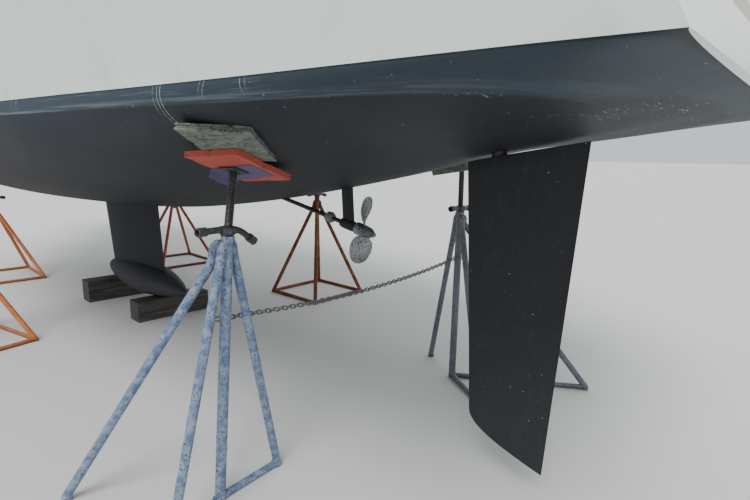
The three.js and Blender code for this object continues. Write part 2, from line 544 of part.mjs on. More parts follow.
// Screw stands. Places are forward of the rudder and to port of the centreline. A stand with four feet has
// a rail round its base. One with three has a rail from its post's foot to each of the first two.
const STANDS = [
  // name, foot of the post, its top, where the head meets the hull, where the screw ends, feet, colour
  ['aft_port', [665, 1112], [605, 1050], [575, 985], [690, 952],
    [[705, 730], [520, 1440], [1210, 1660]], 'blue'],
  ['aft_starboard', [690, -975], [690, -975], [660, -900], [660, -900],
    [[-166, -1535], [285, -730], [1070, -1195]], 'grey'],
  ['middle_port', [4160, 1715], [4160, 1715], [4150, 1440], [4150, 1440],
    [[3840, 1190], [4690, 1400], [4480, 2240], [3630, 2030]], 'orange'],
  ['middle_starboard', [3400, -1830], [3400, -1830], [3410, -1500], [3410, -1500],
    [[3775, -1420], [3810, -2205], [3025, -2240], [2990, -1455]], 'rust'],
  ['forward_port', [6865, 905], [6865, 905], [6850, 830], [6850, 830],
    [[6440, 480], [7290, 480], [7290, 1330], [6440, 1330]], 'orange'],
  ['forward_starboard', [6305, -1335], [6305, -1335], [6300, -1130], [6300, -1130],
    [[5880, -1760], [6730, -1760], [6730, -910], [5880, -910]], 'red'],
].map(([name, base, top, head, screw, feet, colour]) => ({ name, base, top, head, screw, feet, colour }));
const BOARDS = {
  // length, width, degrees turned, forward and to port of where the head meets the hull, in its own plane
  one: [[330, 330, 0, 0, 0]],
  two: [[420, 300, -50, -113, 128], [470, 280, -67, 86, -60]],
};
const STAND = { postRadius: 27, legRadius: 22.5, railRadius: 19, screw: 20, nut: 44, board: 60, sunk: 12, drop: 370 };
for (const { name, base, top: [px, py], head: [hx, hy], screw, feet, colour } of STANDS) {
  const contact = [at(hx), hy, bottomZ(hx, hy)];
  const slopeY = (bottomZ(hx, hy + 100) - bottomZ(hx, hy - 100)) / 200;
  const slopeX = (bottomZ(hx + 150, hy) - bottomZ(hx - 150, hy)) / 300;
  const normal = new THREE.Vector3(-slopeX, -slopeY, 1).normalize();
  const postTop = contact[2] - STAND.drop;
  const onGround = feet.length === 3;
  const low = STAND.railRadius;
  const meet = postTop - (onGround ? 70 : 90);
  const post = (z) => [at(base[0]) + (px - base[0]) * (z / postTop), base[1] + (py - base[1]) * (z / postTop), z];
  const ends = feet.map(([x, y]) => [at(x), y, low]);
  const rails = onGround ? ends.slice(0, 2).map((end) => [end, post(low)]) : ends.map((end, i) => [end, ends[(i + 1) % 4]]);
  const bars = [
    ...ends.map((end) => bar(end, post(meet), STAND.legRadius)),
    ...rails.map(([from, to]) => bar(from, to, STAND.railRadius)),
    bar(post(onGround ? 2 : meet - 160), post(postTop), STAND.postRadius, 10),
    ...ends.map(([x, y]) => bar([x, y, 0], [x, y, low + 8], STAND.legRadius + 3, 8)),
  ];
  const stand = join(bars);
  piece(`stand_${name}`, stand, colour);

  const ahead = new THREE.Vector3(1, 0, 0).projectOnPlane(normal).normalize();
  const toPort = new THREE.Vector3().crossVectors(normal, ahead);
  const boards = name === 'aft_port' ? BOARDS.two : BOARDS.one;
  const thick = STAND.board / boards.length;
  const boardSolids = boards.map(([length, width, degrees, forward, across], i) => {
    const geometry = new THREE.BoxGeometry(length, width, thick - (i > 0 ? 0 : -1));
    geometry.rotateZ(THREE.MathUtils.degToRad(degrees));
    geometry.translate(forward, across, STAND.sunk - thick * (i + 0.5));
    geometry.applyMatrix4(new THREE.Matrix4().makeBasis(ahead, toPort, normal).setPosition(...contact));
    return toSolid(geometry);
  });
  const screwEnd = new THREE.Vector3(at(screw[0]), screw[1], contact[2]);
  const drop = new THREE.Vector3().subVectors(screwEnd, new THREE.Vector3(...contact)).dot(normal) / normal.z;
  screwEnd.z -= drop;
  const under = screwEnd.addScaledVector(normal, STAND.sunk - STAND.board + 2).toArray();
  const [tx, ty, tz] = [at(px), py, postTop];
  const grip = (sign) => [tx + sign * 20, ty - sign * 132, tz + 26];
  const head = join([
    bar([tx, ty, tz], [tx, ty, tz + 40], STAND.nut, 8),
    bar([tx, ty, tz + 20], under, STAND.screw, 8),
    bar(grip(-1), grip(1), 16, 8),
    ...boardSolids,
  ]);
  piece(`stand_head_${name}`, head.subtract(move(wholeHull, 0, 0, -GAP)).subtract(move(stand, 0, 0, GAP)), 'board');
}

// Mast with its spreaders, and the ears that carry the boom and the vang
const mastFoot = plinthTop + GAP;
const mastRing = (z, scale = 1) => {
  const ring = [];
  for (let k = 0; k < 12; k += 1) {
    const a = (2 * Math.PI * k) / 12;
    ring.push([at(MAST.x) + (MAST.long / 2) * scale * Math.cos(a), (MAST.wide / 2) * scale * Math.sin(a), z]);
  }
  return ring;
};
const mastBack = MAST.x - MAST.long / 2;
const pinX = mastBack - GOOSENECK.reach;
let mast = upright([mastRing(mastFoot), mastRing(MAST.top - 3500), mastRing(MAST.top, MAST.headScale)]);
for (const [z, length] of MAST.spreaders) {
  for (const side of [-1, 1]) {
    const tip = [at(MAST.x - length * MAST.sweep), side * length, z + 40];
    mast = mast.add(bar([at(MAST.x), 0, z], tip, 30, 8, 20));
  }
}
mast = mast.add(box(at(MAST.x - 240), at(MAST.x + 190), -30, 30, MAST.top - 60, MAST.top));
for (const z of [BOOM.z, VANG.footZ]) {
  const earLow = GOOSENECK.tongue / 2 + GOOSENECK.play;
  const earHigh = earLow + GOOSENECK.ear;
  for (const [low, high] of [[z + earLow, z + earHigh], [z - earHigh, z - earLow]]) {
    mast = mast.add(box(at(pinX - 18), at(mastBack + 20), -18, 18, low, high));
  }
  mast = mast.add(bar([at(pinX), 0, z - earLow - 1], [at(pinX), 0, z + earLow + 1], GOOSENECK.pin, 12));
}
piece('mast', mast, 'alloy');

// A tongue round the pin, which the boom and the vang end in
const tongue = (z, reach) => box(at(pinX - reach), at(pinX + 15), -15, 15, z - GOOSENECK.tongue / 2, z + GOOSENECK.tongue / 2)
  .subtract(bar([at(pinX), 0, z - 100], [at(pinX), 0, z + 100], GOOSENECK.pin + 1, 12));
const boomFore = pinX - 60;
const boomBody = box(at(boomFore - BOOM.length), at(boomFore), -BOOM.wide / 2, BOOM.wide / 2,
  BOOM.z - BOOM.deep / 2, BOOM.z + BOOM.deep / 2);
piece('boom', boomBody.add(tongue(BOOM.z, 70)), 'alloy');
const vangTop = [at(pinX - VANG.reach), 0, BOOM.z - BOOM.deep / 2 + 20];
piece('vang', bar([at(pinX - 80), 0, VANG.footZ], vangTop, VANG.radius, 10)
  .add(tongue(VANG.footZ, 100))
  .subtract(move(boomBody, 0, 0, -GAP)), 'alloy');

// Standing rigging
const SUNK = 30; // feet start this far inside the deck, and are cut back to its top
const onDeck = (solid) => solid.subtract(underDeck);
const WIRE = 6;
const stemPlateZ = deckTop(10600) + 6;
const STEM_FITTING = { aft: 10420, fore: 10882, half: 60, thick: 12, cheekAft: 10700, cheek: 90 };
const F = STEM_FITTING;
const rollerAt = [at(F.fore - 45), stemPlateZ + F.thick + 40];
piece('bow_roller', join([
  box(at(F.aft), at(F.fore), -F.half, F.half, stemPlateZ, stemPlateZ + F.thick),
  box(at(F.aft), at(10600), -35, 35, stemPlateZ - SUNK, stemPlateZ + 1),
  box(at(F.cheekAft), at(F.fore), -F.half, -F.half + 8, stemPlateZ, stemPlateZ + F.cheek),
  box(at(F.cheekAft), at(F.fore), F.half - 8, F.half, stemPlateZ, stemPlateZ + F.cheek),
  bar([rollerAt[0], -F.half + 4, rollerAt[1]], [rollerAt[0], F.half - 4, rollerAt[1]], 26, 10),
]).subtract(underDeck), 'steel');
const FORESTAY = { footX: 10560, headX: MAST.x + 175, foil: 17, drum: 80, drumLow: 170, drumHigh: 330 };
const foreFoot = [at(FORESTAY.footX), 0, stemPlateZ + F.thick + GAP];
const foreHead = [at(FORESTAY.headX), 0, MAST.top - 60 - GAP];
const onForestay = (height) => foreFoot.map((v, i) => v + (foreHead[i] - v) * (height / (foreHead[2] - foreFoot[2])));
piece('forestay', join([
  bar(onForestay(10), onForestay(foreHead[2] - foreFoot[2] - 30), FORESTAY.foil, 8),
  bar(foreFoot, [foreFoot[0], 0, foreFoot[2] + 60], 10, 8),
  bar(onForestay(FORESTAY.drumLow), onForestay(FORESTAY.drumHigh), FORESTAY.drum, 14),
]), 'alloy');

const BACKSTAY = { headX: MAST.x - 225, splitX: 960, splitZ: 7000, footX: -240, footY: 1290 };
const aftDeckZ = (x, y) => deckZ(lineAt(x), y) + DECK_THICK;
const backFoot = (side) => [at(BACKSTAY.footX), side * BACKSTAY.footY, aftDeckZ(BACKSTAY.footX, BACKSTAY.footY) - SUNK];
const backSplit = [at(BACKSTAY.splitX), 0, BACKSTAY.splitZ];
piece('backstay', onDeck(join([
  bar(backSplit, [at(BACKSTAY.headX), 0, MAST.top - 60 - GAP - 6], WIRE, 6),
  bar(backSplit, backFoot(1), WIRE, 6),
  bar(backSplit, backFoot(-1), WIRE, 6),
  bar([backSplit[0], 0, backSplit[2] - 30], [backSplit[0], 0, backSplit[2] + 30], 16, 8),
])), 'steel');

const CHAINPLATE = { x: MAST.x - 350, inset: 130, radius: 12, height: 190 };
for (const [sideName, side] of [['port', 1], ['starboard', -1]]) {
  const y = lineAt(CHAINPLATE.x).sheerHalf - CHAINPLATE.inset;
  const z = aftDeckZ(CHAINPLATE.x, y) - SUNK;
  const foot = [at(CHAINPLATE.x), side * y, z];
  const top = [foot[0], foot[1], z + SUNK + CHAINPLATE.height];
  const tips = MAST.spreaders.map(([h, length]) => [at(MAST.x - length * MAST.sweep), side * (length + 16), h + 40]);
  const route = [top, ...tips, [at(MAST.x), side * 56, MAST.top - 120]];
  const wires = route.slice(1).map((p, i) => bar(route[i], p, WIRE, 6));
  piece(`shrouds_${sideName}`, onDeck(join([
    ...wires,
    bar(top, [at(MAST.x), side * 74, MAST.spreaders[0][0] - 60], WIRE, 6),
    bar(tips[0], [at(MAST.x), side * 74, MAST.spreaders[1][0] - 60], WIRE, 6),
    bar(foot, [foot[0], foot[1], top[2] + 5], CHAINPLATE.radius, 8),
  ])), 'steel');
}

// Pulpit, guardrails and pushpits
const RAIL = { radius: 12.5, height: 610, middle: 300, wire: 4 };
const edgePlace = (x, inset) => {
  const y = lineAt(x).sheerHalf - inset;
  return [x, y, aftDeckZ(x, y)];
};
const pulpitFeet = [[9300, 80], [10050, 75]].map(([x, inset]) => edgePlace(x, inset));
const pulpitNose = [10780, 150, deckTop(10600) + RAIL.height + 20];
const pulpitTop = pulpitFeet.map(([x, y, z]) => [x + 30, y, z + RAIL.height]);
const mirrored = ([x, y, z], side) => [at(x), side * y, z];
const pulpitBars = [];
for (const side of [-1, 1]) {
  pulpitFeet.forEach(([x, y, z], i) => {
    pulpitBars.push(bar(mirrored([x, y, z - SUNK], side), mirrored(pulpitTop[i], side), RAIL.radius));
  });
  pulpitBars.push(bar(mirrored([9330, pulpitFeet[0][1] - 1, pulpitFeet[0][2] + RAIL.middle], side),
    mirrored([10080, pulpitFeet[1][1] - 1, pulpitFeet[1][2] + RAIL.middle], side), RAIL.radius * 0.8));
}
const pulpitRoute = [pulpitTop[0], pulpitTop[1], pulpitNose];
pulpitBars.push(bentTube([...pulpitRoute.map((p) => mirrored(p, 1)), ...pulpitRoute.reverse().map((p) => mirrored(p, -1))],
  RAIL.radius, 20));
piece('pulpit', onDeck(join(pulpitBars)), 'steel');

const STANCHIONS = [7900, 6400, 4900, 3400, 1900, 500];
const PUSHPIT = [[500, 75], [-330, 110]];
for (const [sideName, side] of [['port', 1], ['starboard', -1]]) {
  const raise = ([x, y, z], height) => mirrored([x, y, z + height], side);
  const feet = STANCHIONS.map((x) => edgePlace(x, 75));
  const corner = edgePlace(...PUSHPIT[1]);
  const inner = [-420, 880, aftDeckZ(-420, 880)];
  const bars = [...feet, corner, inner].map((foot) => bar(raise(foot, -SUNK), raise(foot, RAIL.height), RAIL.radius));
  const wireEnd = [9300 - 16, pulpitFeet[0][1] - 1, pulpitFeet[0][2]];
  for (const height of [RAIL.height - 6, RAIL.middle]) {
    [wireEnd, ...feet].slice(1).forEach((foot, i) => {
      bars.push(bar(raise([wireEnd, ...feet][i], height), raise(foot, height), RAIL.wire, 6));
    });
    bars.push(bar(raise(feet.at(-1), height), raise(corner, height), RAIL.radius));
    bars.push(bar(raise(corner, height), raise(inner, height), RAIL.radius));
  }
  piece(`guardrail_${sideName}`, onDeck(join(bars)), 'steel');
}

// Steering pedestal and wheel
const PEDESTAL = { x: 700, low: COCKPIT.sole + GAP, top: 3470, long: 190, wide: 230 };
const WHEEL = { radius: 430, rim: 14, z: 3380, x: 560, spokes: 5, hub: 34, shaft: 14, inside: 90 };
const wheelShaft = (radius, length) => bar([at(WHEEL.x), 0, WHEEL.z], [at(WHEEL.x) + length, 0, WHEEL.z], radius, 10);
piece('steering_pedestal', upright([
  [[at(PEDESTAL.x - 110), -PEDESTAL.wide / 2], [at(PEDESTAL.x + 110), -PEDESTAL.wide / 2],
    [at(PEDESTAL.x + 110), PEDESTAL.wide / 2], [at(PEDESTAL.x - 110), PEDESTAL.wide / 2]].map(([x, y]) => [x, y, PEDESTAL.low]),
  [[at(PEDESTAL.x - 80), -PEDESTAL.wide / 2.4], [at(PEDESTAL.x + 90), -PEDESTAL.wide / 2.4],
    [at(PEDESTAL.x + 90), PEDESTAL.wide / 2.4], [at(PEDESTAL.x - 80), PEDESTAL.wide / 2.4]].map(([x, y]) => [x, y, PEDESTAL.top]),
]).subtract(wheelShaft(WHEEL.shaft + 0.8, WHEEL.inside + 20)), 'gelcoat');
const wheelRim = new THREE.TorusGeometry(WHEEL.radius, WHEEL.rim, 8, 30);
wheelRim.rotateY(Math.PI / 2);
const wheelSpokes = [];
for (let k = 0; k < WHEEL.spokes; k += 1) {
  const a = (2 * Math.PI * k) / WHEEL.spokes + Math.PI / 2;
  wheelSpokes.push(bar([0, 0, 0], [0, WHEEL.radius * Math.cos(a), WHEEL.radius * Math.sin(a)], 8, 8));
}
const wheel = piece('steering_wheel', join([
  toSolid(wheelRim), ...wheelSpokes,
  bar([-25, 0, 0], [25, 0, 0], WHEEL.hub, 12),
  bar([0, 0, 0], [WHEEL.inside, 0, 0], WHEEL.shaft, 10),
]), 'steel');
wheel.position.set(at(WHEEL.x), 0, WHEEL.z);

export default yacht;
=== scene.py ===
"""Looks for a sailing yacht laid up ashore on keel blocks and screw stands.

Metres. Places along the yacht are written forward of the rudder's leading edge, as they are in the part's
source. Each piece is moved into the shared frame when it is made, or else at() takes its places there.
"""
import math

import bmesh
import bpy
import numpy as np
from mathutils import Matrix, Vector


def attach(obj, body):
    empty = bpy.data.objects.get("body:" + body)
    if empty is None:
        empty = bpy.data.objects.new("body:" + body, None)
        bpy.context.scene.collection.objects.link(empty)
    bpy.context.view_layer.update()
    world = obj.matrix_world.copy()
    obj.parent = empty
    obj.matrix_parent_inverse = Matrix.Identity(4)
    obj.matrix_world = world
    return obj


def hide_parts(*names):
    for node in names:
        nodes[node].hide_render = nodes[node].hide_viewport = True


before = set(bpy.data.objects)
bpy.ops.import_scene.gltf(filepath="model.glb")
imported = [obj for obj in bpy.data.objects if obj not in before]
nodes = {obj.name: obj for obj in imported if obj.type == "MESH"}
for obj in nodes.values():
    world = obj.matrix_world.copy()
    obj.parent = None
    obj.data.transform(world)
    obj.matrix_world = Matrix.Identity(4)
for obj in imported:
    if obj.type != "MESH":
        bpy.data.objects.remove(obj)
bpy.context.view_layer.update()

# Sizes shared with the part
RUDDER_X = -4.83
WATERLINE = 2.0
DECK_THICK, DECK_CAMBER, DECK_EDGE = 0.04, 0.055, 0.012
LINES = [
    # keel, height, water, half beam, sheer, half beam, height, deadrise, fullness, turn of the bilge
    (-1.19, 1.996, -1.222, 1.17, -0.7, 1.4, 3.12, 0, 0.9, 0.5),
    (-0.9, 1.92, -0.9, 1.225, -0.4, 1.47, 3.12, 0.03, 0.9, 0.4),
    (-0.48, 1.832, -0.45, 1.285, 0, 1.54, 3.12, 0.07, 0.9, 0.4),
    (0, 1.75, 0.05, 1.35, 0.4, 1.6, 3.125, 0.11, 0.92, 0.3),
    (0.6, 1.605, 0.65, 1.44, 0.9, 1.675, 3.13, 0.155, 0.93, 0.25),
    (1.3, 1.472, 1.3, 1.545, 1.5, 1.76, 3.14, 0.17, 0.92, 0.25),
    (2.1, 1.35, 2.1, 1.655, 2.2, 1.84, 3.155, 0.19, 0.9, 0.3),
    (3, 1.245, 3, 1.74, 3, 1.9, 3.175, 0.2, 0.86, 0.38),
    (4, 1.175, 4, 1.775, 4, 1.935, 3.205, 0.21, 0.8, 0.48),
    (5, 1.15, 5, 1.74, 5, 1.91, 3.24, 0.23, 0.72, 0.55),
    (6, 1.175, 6, 1.61, 6.05, 1.83, 3.285, 0.28, 0.64, 0.62),
    (7, 1.26, 7, 1.37, 7.15, 1.67, 3.34, 0.35, 0.56, 0.62),
    (7.9, 1.39, 8, 1.02, 8.3, 1.38, 3.405, 0.48, 0.5, 0.62),
    (8.6, 1.53, 8.85, 0.645, 9.3, 0.99, 3.465, 0.7, 0.45, 0.62),
    (9.1, 1.66, 9.45, 0.33, 10.05, 0.6, 3.51, 1, 0.4, 0.62),
    (9.4, 1.77, 9.8, 0.12, 10.6, 0.25, 3.545, 1.4, 0.4, 0.62),
    (9.5, 1.81, 9.93, 0.025, 10.86, 0.035, 3.56, 1.8, 0.4, 0.62),
]
ROOF = [
    # forward of the rudder, half width at the foot, half width at the top, height
    (2.32, 1.11, 0.97, 3.7),
    (3.9, 1.12, 0.98, 3.72),
    (5.4, 1.06, 0.91, 3.69),
    (6.6, 0.89, 0.73, 3.6),
    (7.4, 0.7, 0.54, 3.5),
    (8.15, 0.48, 0.33, 3.36),
]
ROOF_CROWN, ROOF_FOOT = 0.045, 2.9
HUB_X, HUB_Z = 0.76, 1.283
SHAFT_DIRECTION = Vector((0.84, 0, 0.147)).normalized()
FORWARD, UP = Vector((1, 0, 0)), Vector((0, 0, 1))
SIDES = (("port", 1), ("starboard", -1))


def at(forward_of_rudder):
    return forward_of_rudder + RUDDER_X


def on_shaft(distance):
    return Vector((HUB_X, 0, HUB_Z)) + SHAFT_DIRECTION * distance


# Camera
def stand_the_camera():
    """The photo's viewpoint, fitted to the paint line, the ground and the yacht's own sizes."""
    place, focal, width = Vector((-6.313, 2.262, 1.763)), 505.173, 750
    yaw, pitch, roll = map(math.radians, (46.612, 10.731, 1.153))
    ahead = Vector((math.cos(yaw) * math.cos(pitch), -math.sin(yaw) * math.cos(pitch), -math.sin(pitch)))
    right = Vector((-math.sin(yaw), -math.cos(yaw), 0))
    up = right.cross(ahead)
    camera_right = right * math.cos(roll) + up * math.sin(roll)
    camera_up = up * math.cos(roll) - right * math.sin(roll)
    lens = bpy.data.cameras.new("photo_view")
    lens.sensor_width = 36
    lens.lens = focal / width * 36
    lens.clip_end = 300
    camera = bpy.data.objects.new("photo_view", lens)
    bpy.context.collection.objects.link(camera)
    turn = Matrix((camera_right, camera_up, -ahead)).transposed().to_4x4()
    camera.matrix_world = Matrix.Translation(place) @ turn
    bpy.context.scene.camera = camera


stand_the_camera()


# Shader maths
class Value:
    """A number that changes over a surface. Its operators add Math nodes."""

    def __init__(self, look, socket):
        self.look, self.socket = look, socket

    def __add__(self, other):
        return self.look.maths("ADD", self, other)

    def __sub__(self, other):
        return self.look.maths("SUBTRACT", self, other)

    def __rsub__(self, other):
        return self.look.maths("SUBTRACT", other, self)

    def __mul__(self, other):
        return self.look.maths("MULTIPLY", self, other)

    __radd__, __rmul__ = __add__, __mul__


def paint(*screen):
    """A colour as it looks on a screen, 0 to 255, turned into light."""
    return tuple(c / 255 / 12.92 if c < 10 else ((c / 255 + 0.055) / 1.055) ** 2.4 for c in screen) + (1.0,)


def deeper(color, share):
    return tuple(c * share for c in color[:3]) + (1.0,)


class Look:
    """One finish, laid on coat by coat. node() adds any node from its type, settings and inputs."""

    def __init__(self, name):
        self.material = bpy.data.materials.new(name)
        self.material.use_nodes = True
        self.tree = self.material.node_tree
        self.shader = self.tree.nodes["Principled BSDF"]
        self.place = self.node("ShaderNodeTexCoord", output="Object")
        self.x, self.y, self.z = self.parts(self.place)
        self.base = None

    def feed(self, socket, value):
        if isinstance(value, Value):
            self.tree.links.new(value.socket, socket)
        else:
            socket.default_value = value

    def node(self, kind, settings=None, inputs=None, output=0):
        made = self.tree.nodes.new(kind)
        for key, value in (settings or {}).items():
            if key == "stops":
                ramp = made.color_ramp.elements
                while len(ramp) < len(value):
                    ramp.new(1)
                for stop, (where, color) in zip(ramp, value):
                    stop.position, stop.color = where, color
            else:
                setattr(made, key, value)
        for key, value in (inputs or {}).items():
            self.feed(made.inputs[key], value)
        return Value(self, made.outputs[output])

    def maths(self, operation, *values):
        return self.node("ShaderNodeMath", {"operation": operation}, dict(enumerate(values)))

    def parts(self, vector):
        split = self.tree.nodes.new("ShaderNodeSeparateXYZ")
        self.feed(split.inputs[0], vector)
        return [Value(self, out) for out in split.outputs]

    def stretched(self, stretch):
        return self.node("ShaderNodeVectorMath", {"operation": "MULTIPLY"}, {0: self.place, 1: stretch})

    def noise(self, scale, detail=4.0, rough=0.55, stretch=(1, 1, 1), warp=0.0):
        return self.node("ShaderNodeTexNoise", inputs={
            "Vector": self.stretched(stretch), "Scale": scale, "Detail": detail, "Roughness": rough,
            "Distortion": warp})

    def between(self, value, low, high):
        """0 up to low, 1 from high, and smooth between."""
        return self.node("ShaderNodeMapRange", {"interpolation_type": "SMOOTHSTEP"}, {
            "Value": value, "From Min": low, "From Max": high})

    def patches(self, low, high, *noise, **more):
        """Noise, cut so that it is 0 up to low and 1 from high."""
        return self.between(self.noise(*noise, **more), low, high)

    def dots(self, scale, size):
        """Small round spots, size as a share of their spacing."""
        cells = self.node("ShaderNodeTexVoronoi", {"feature": "F1"}, {
            "Vector": self.stretched((1, 1, 1)), "Scale": scale}, "Distance")
        return self.between(cells, size, size * 0.6)

    def mix(self, share, first, second):
        return self.node("ShaderNodeMix", {"data_type": "RGBA"}, {0: share, 6: first, 7: second}, 2)

    def start(self, share, first, second):
        self.base = self.mix(share, first, second)

    def coat(self, share, color):
        """Lays a colour over the ones before it."""
        self.base = self.mix(share, self.base, color)

    def bumped(self, height, distance, under=None):
        inputs = {"Strength": 1.0, "Distance": distance, "Height": height}
        if under:
            inputs["Normal"] = under
        return self.node("ShaderNodeBump", inputs=inputs)

    def done(self, roughness, metallic=0.0, normal=None, **fixed):
        """Joins the finish to its shader. fixed holds the shader's own constant sockets."""
        inputs = self.shader.inputs
        for key, value in (("Base Color", self.base), ("Roughness", roughness), ("Metallic", metallic)):
            self.feed(inputs[key], value)
        if normal:
            self.feed(inputs["Normal"], normal)
        for key, value in fixed.items():
            inputs[key.replace("_", " ").title().replace("Ior", "IOR")].default_value = value
        return self.material


# Finishes
def gelcoat(name, color, stained, run_marks=0.35):
    """Moulded plastic, chalked by weather, with faint run marks, pale scuffs and small dark specks."""
    look = Look(name)
    cloud, fine, swell = look.noise(0.9, 3), look.noise(38, 5, 0.6), look.noise(2.2, 2)
    marks = look.patches(0.52, 0.74, 1.0, 5, 0.6, (7.0, 7.0, 0.55)) * run_marks
    scuffs = look.patches(0.6, 0.72, 1.0, 6, 0.7, (2.5, 2.5, 22)) * 0.22
    look.start(cloud, color, stained)
    look.coat(marks * fine, paint(158, 158, 142))
    look.coat(scuffs * cloud, paint(236, 238, 232))
    look.coat(look.dots(13, 0.032) * 0.7, paint(120, 116, 100))
    normal = look.bumped(fine, 0.0004, look.bumped(swell, 0.006))
    return look.done(0.2 + cloud * 0.16 + marks * 0.3, normal=normal, coat_weight=0.25, coat_roughness=0.12)


SCRATCHES = [
    # forward of the rudder at the paint line, lean forward per metre down, half width, lowest point
    (0.428, 0.62, 0.003, 1.82), (0.447, 0.64, 0.002, 1.84), (0.475, 0.6, 0.0013, 1.88),
    (0.172, 0.92, 0.0024, 1.928), (0.195, 0.9, 0.0015, 1.935), (-0.005, 0.4, 0.002, 1.93),
    (-0.03, 0.45, 0.0012, 1.94), (1.66, 0.7, 0.0022, 1.93), (1.72, 0.7, 0.0015, 1.94),
]
KNUCKLE = {"height": 1.931, "rises_aft_of": -0.86, "slope": 0.16}


def hull_paint():
    """Antifouling: charcoal below the knuckle and a lighter blue-grey band above it, with scuffs, scratches
    and white specks. The band is partly painted sky light and the charcoal partly painted shade.
    """
    look = Look("hull_antifouling")
    facing_up = look.parts(look.node("ShaderNodeNewGeometry", output="Normal"))[2]
    cloud, patch = look.noise(1.6, 5, 0.62), look.noise(5.5, 6, 0.6, warp=0.4)
    grain, drawn = look.noise(160, 3, 0.6), look.noise(1.0, 7, 0.68, (1.3, 1.3, 70))
    slope = KNUCKLE["slope"]
    rise = look.maths("MAXIMUM", look.x * -slope + at(KNUCKLE["rises_aft_of"]) * slope, 0.0)
    over = look.z - KNUCKLE["height"] - rise
    # Above the knuckle lies a lighter blue-grey band, partly painted sky light on the upright side; below it
    # the charcoal is partly painted shade on the downward-facing bottom.
    side = look.between(over + (grain - 0.5) * 0.004, -0.004, 0.003)
    deep = look.mix(cloud, paint(20, 23, 29), paint(33, 37, 44))
    # Painted light by facing: the charcoal is lighter where the bottom turns away from facing straight down.
    deep = look.mix(look.between(facing_up, -0.97, -0.8) * 0.6, deep, paint(38, 46, 56))
    sky_lit_slate = look.mix(cloud, paint(40, 52, 61), paint(59, 73, 84))
    # The band is darker aft of the rudder.
    sky_lit_slate = look.mix(look.between(look.x, at(0.5), at(-0.5)) * 0.5, sky_lit_slate, paint(34, 43, 51))
    look.start(side, deep, sky_lit_slate)
    look.coat(look.between(patch, 0.55, 0.75) * 0.2, paint(60, 68, 76))
    # A painted highlight: pale streaks on a thin strip just above the knuckle.
    along = look.between(over, -0.006, 0.004) * look.between(over, 0.03, 0.008)
    knuckle_highlight_streaks = look.between(drawn, 0.44, 0.62) * look.between(look.x, at(-1.3), at(0.3))
    look.coat(along * knuckle_highlight_streaks * 0.5, paint(132, 146, 156))
    rubbed = look.patches(0.56, 0.68, 1.0, 5, 0.7, (2.2, 2.2, 90)) * side
    look.coat(rubbed * look.between(look.x, at(-1.0), at(0.2)) * 0.25, paint(140, 152, 160))
    for start, lean, half, low in SCRATCHES:
        wander = (patch - 0.5) * 0.006
        off = look.maths("ABSOLUTE", look.x + look.z * lean - (at(start) + lean * WATERLINE) + wander)
        mark = look.between(off, half, half * 0.3) * look.between(look.z, low, low + 0.05)
        mark = mark * look.between(look.y, 0.6, 0.7)
        look.coat(mark * look.between(grain, 0.36, 0.5) * 0.8, paint(176, 186, 192))
    under_knuckle = look.between(over, -0.042, -0.028) * look.between(over, 0.006, -0.004)
    scuffs = look.patches(0.6, 0.66, 1.0, 6, 0.7, (90, 16, 60)) * look.patches(0.5, 0.6, 3.0, 2)
    look.coat(scuffs * look.between(look.x, at(-0.45), at(-0.65)) * under_knuckle * 0.7, paint(168, 176, 180))
    specks = look.maths("MAXIMUM", look.dots(9, 0.032), look.dots(27, 0.042))
    look.coat(specks * 0.85, paint(206, 210, 208))
    look.coat(look.between(look.z, WATERLINE - 0.007, WATERLINE - 0.003) * 0.75, paint(20, 24, 28))
    normal = look.bumped(grain, 0.0006, look.bumped(patch, 0.0022))
    return look.done(0.5 + cloud * 0.24, normal=normal, specular_ior_level=0.32)


def dark_paint(name, low, high, specks_per_metre=12, speck=0.05):
    """Near-black rolled antifouling with roller marks, rubbed places and white specks."""
    look = Look(name)
    cloud, grain = look.noise(2.1, 5, 0.62), look.noise(210, 3, 0.6)
    rolled = look.noise(1.0, 6, 0.66, (30, 30, 9))
    look.start(cloud, low, high)
    look.coat(look.between(rolled, 0.52, 0.72) * 0.35, paint(58, 61, 64))
    look.coat(look.patches(0.66, 0.8, 7, 7, 0.66, warp=0.8) * 0.4, paint(96, 100, 102))
    specks = [look.dots(specks_per_metre * share, speck) for share in (1, 2.3)]
    look.coat(look.maths("MAXIMUM", *specks) * 0.9, paint(206, 208, 204))
    normal = look.bumped(grain, 0.0007, look.bumped(rolled, 0.0014))
    return look.done(0.66 + cloud * 0.2, normal=normal, specular_ior_level=0.3)


def worn_paint(name, color, faded, under, wear=0.5, bare_low=0.06, chip_size=26, mottle=3.5):
    """Paint on steel tube: brushed on in coats, chipped to what lies under it, and bare near the ground."""
    look = Look(name)
    coats, chips = look.noise(mottle, 7, 0.66, warp=0.3), look.noise(chip_size, 8, 0.68, warp=0.3)
    flakes, brushed = look.noise(90, 5, 0.7), look.noise(1.0, 3, 0.5, (140, 140, 10))
    look.start(look.between(coats, 0.4, 0.62), color, faded)
    look.coat(look.between(flakes, 0.5, 0.8) * 0.35, paint(222, 226, 226))
    gone = look.between(chips + (coats - 0.5) * 0.3, 0.66 - 0.14 * wear, 0.71 - 0.14 * wear)
    if bare_low:
        near_ground = look.between(look.z, bare_low, 0.0) * look.between(flakes, 0.35, 0.55)
        gone = look.maths("MAXIMUM", gone, near_ground)
    look.coat(gone, look.mix(flakes, under, deeper(under, 0.4)))
    normal = look.bumped(gone, -0.0006, look.bumped(brushed, 0.0003))
    return look.done(0.42 + gone * 0.36 + flakes * 0.12, normal=normal)


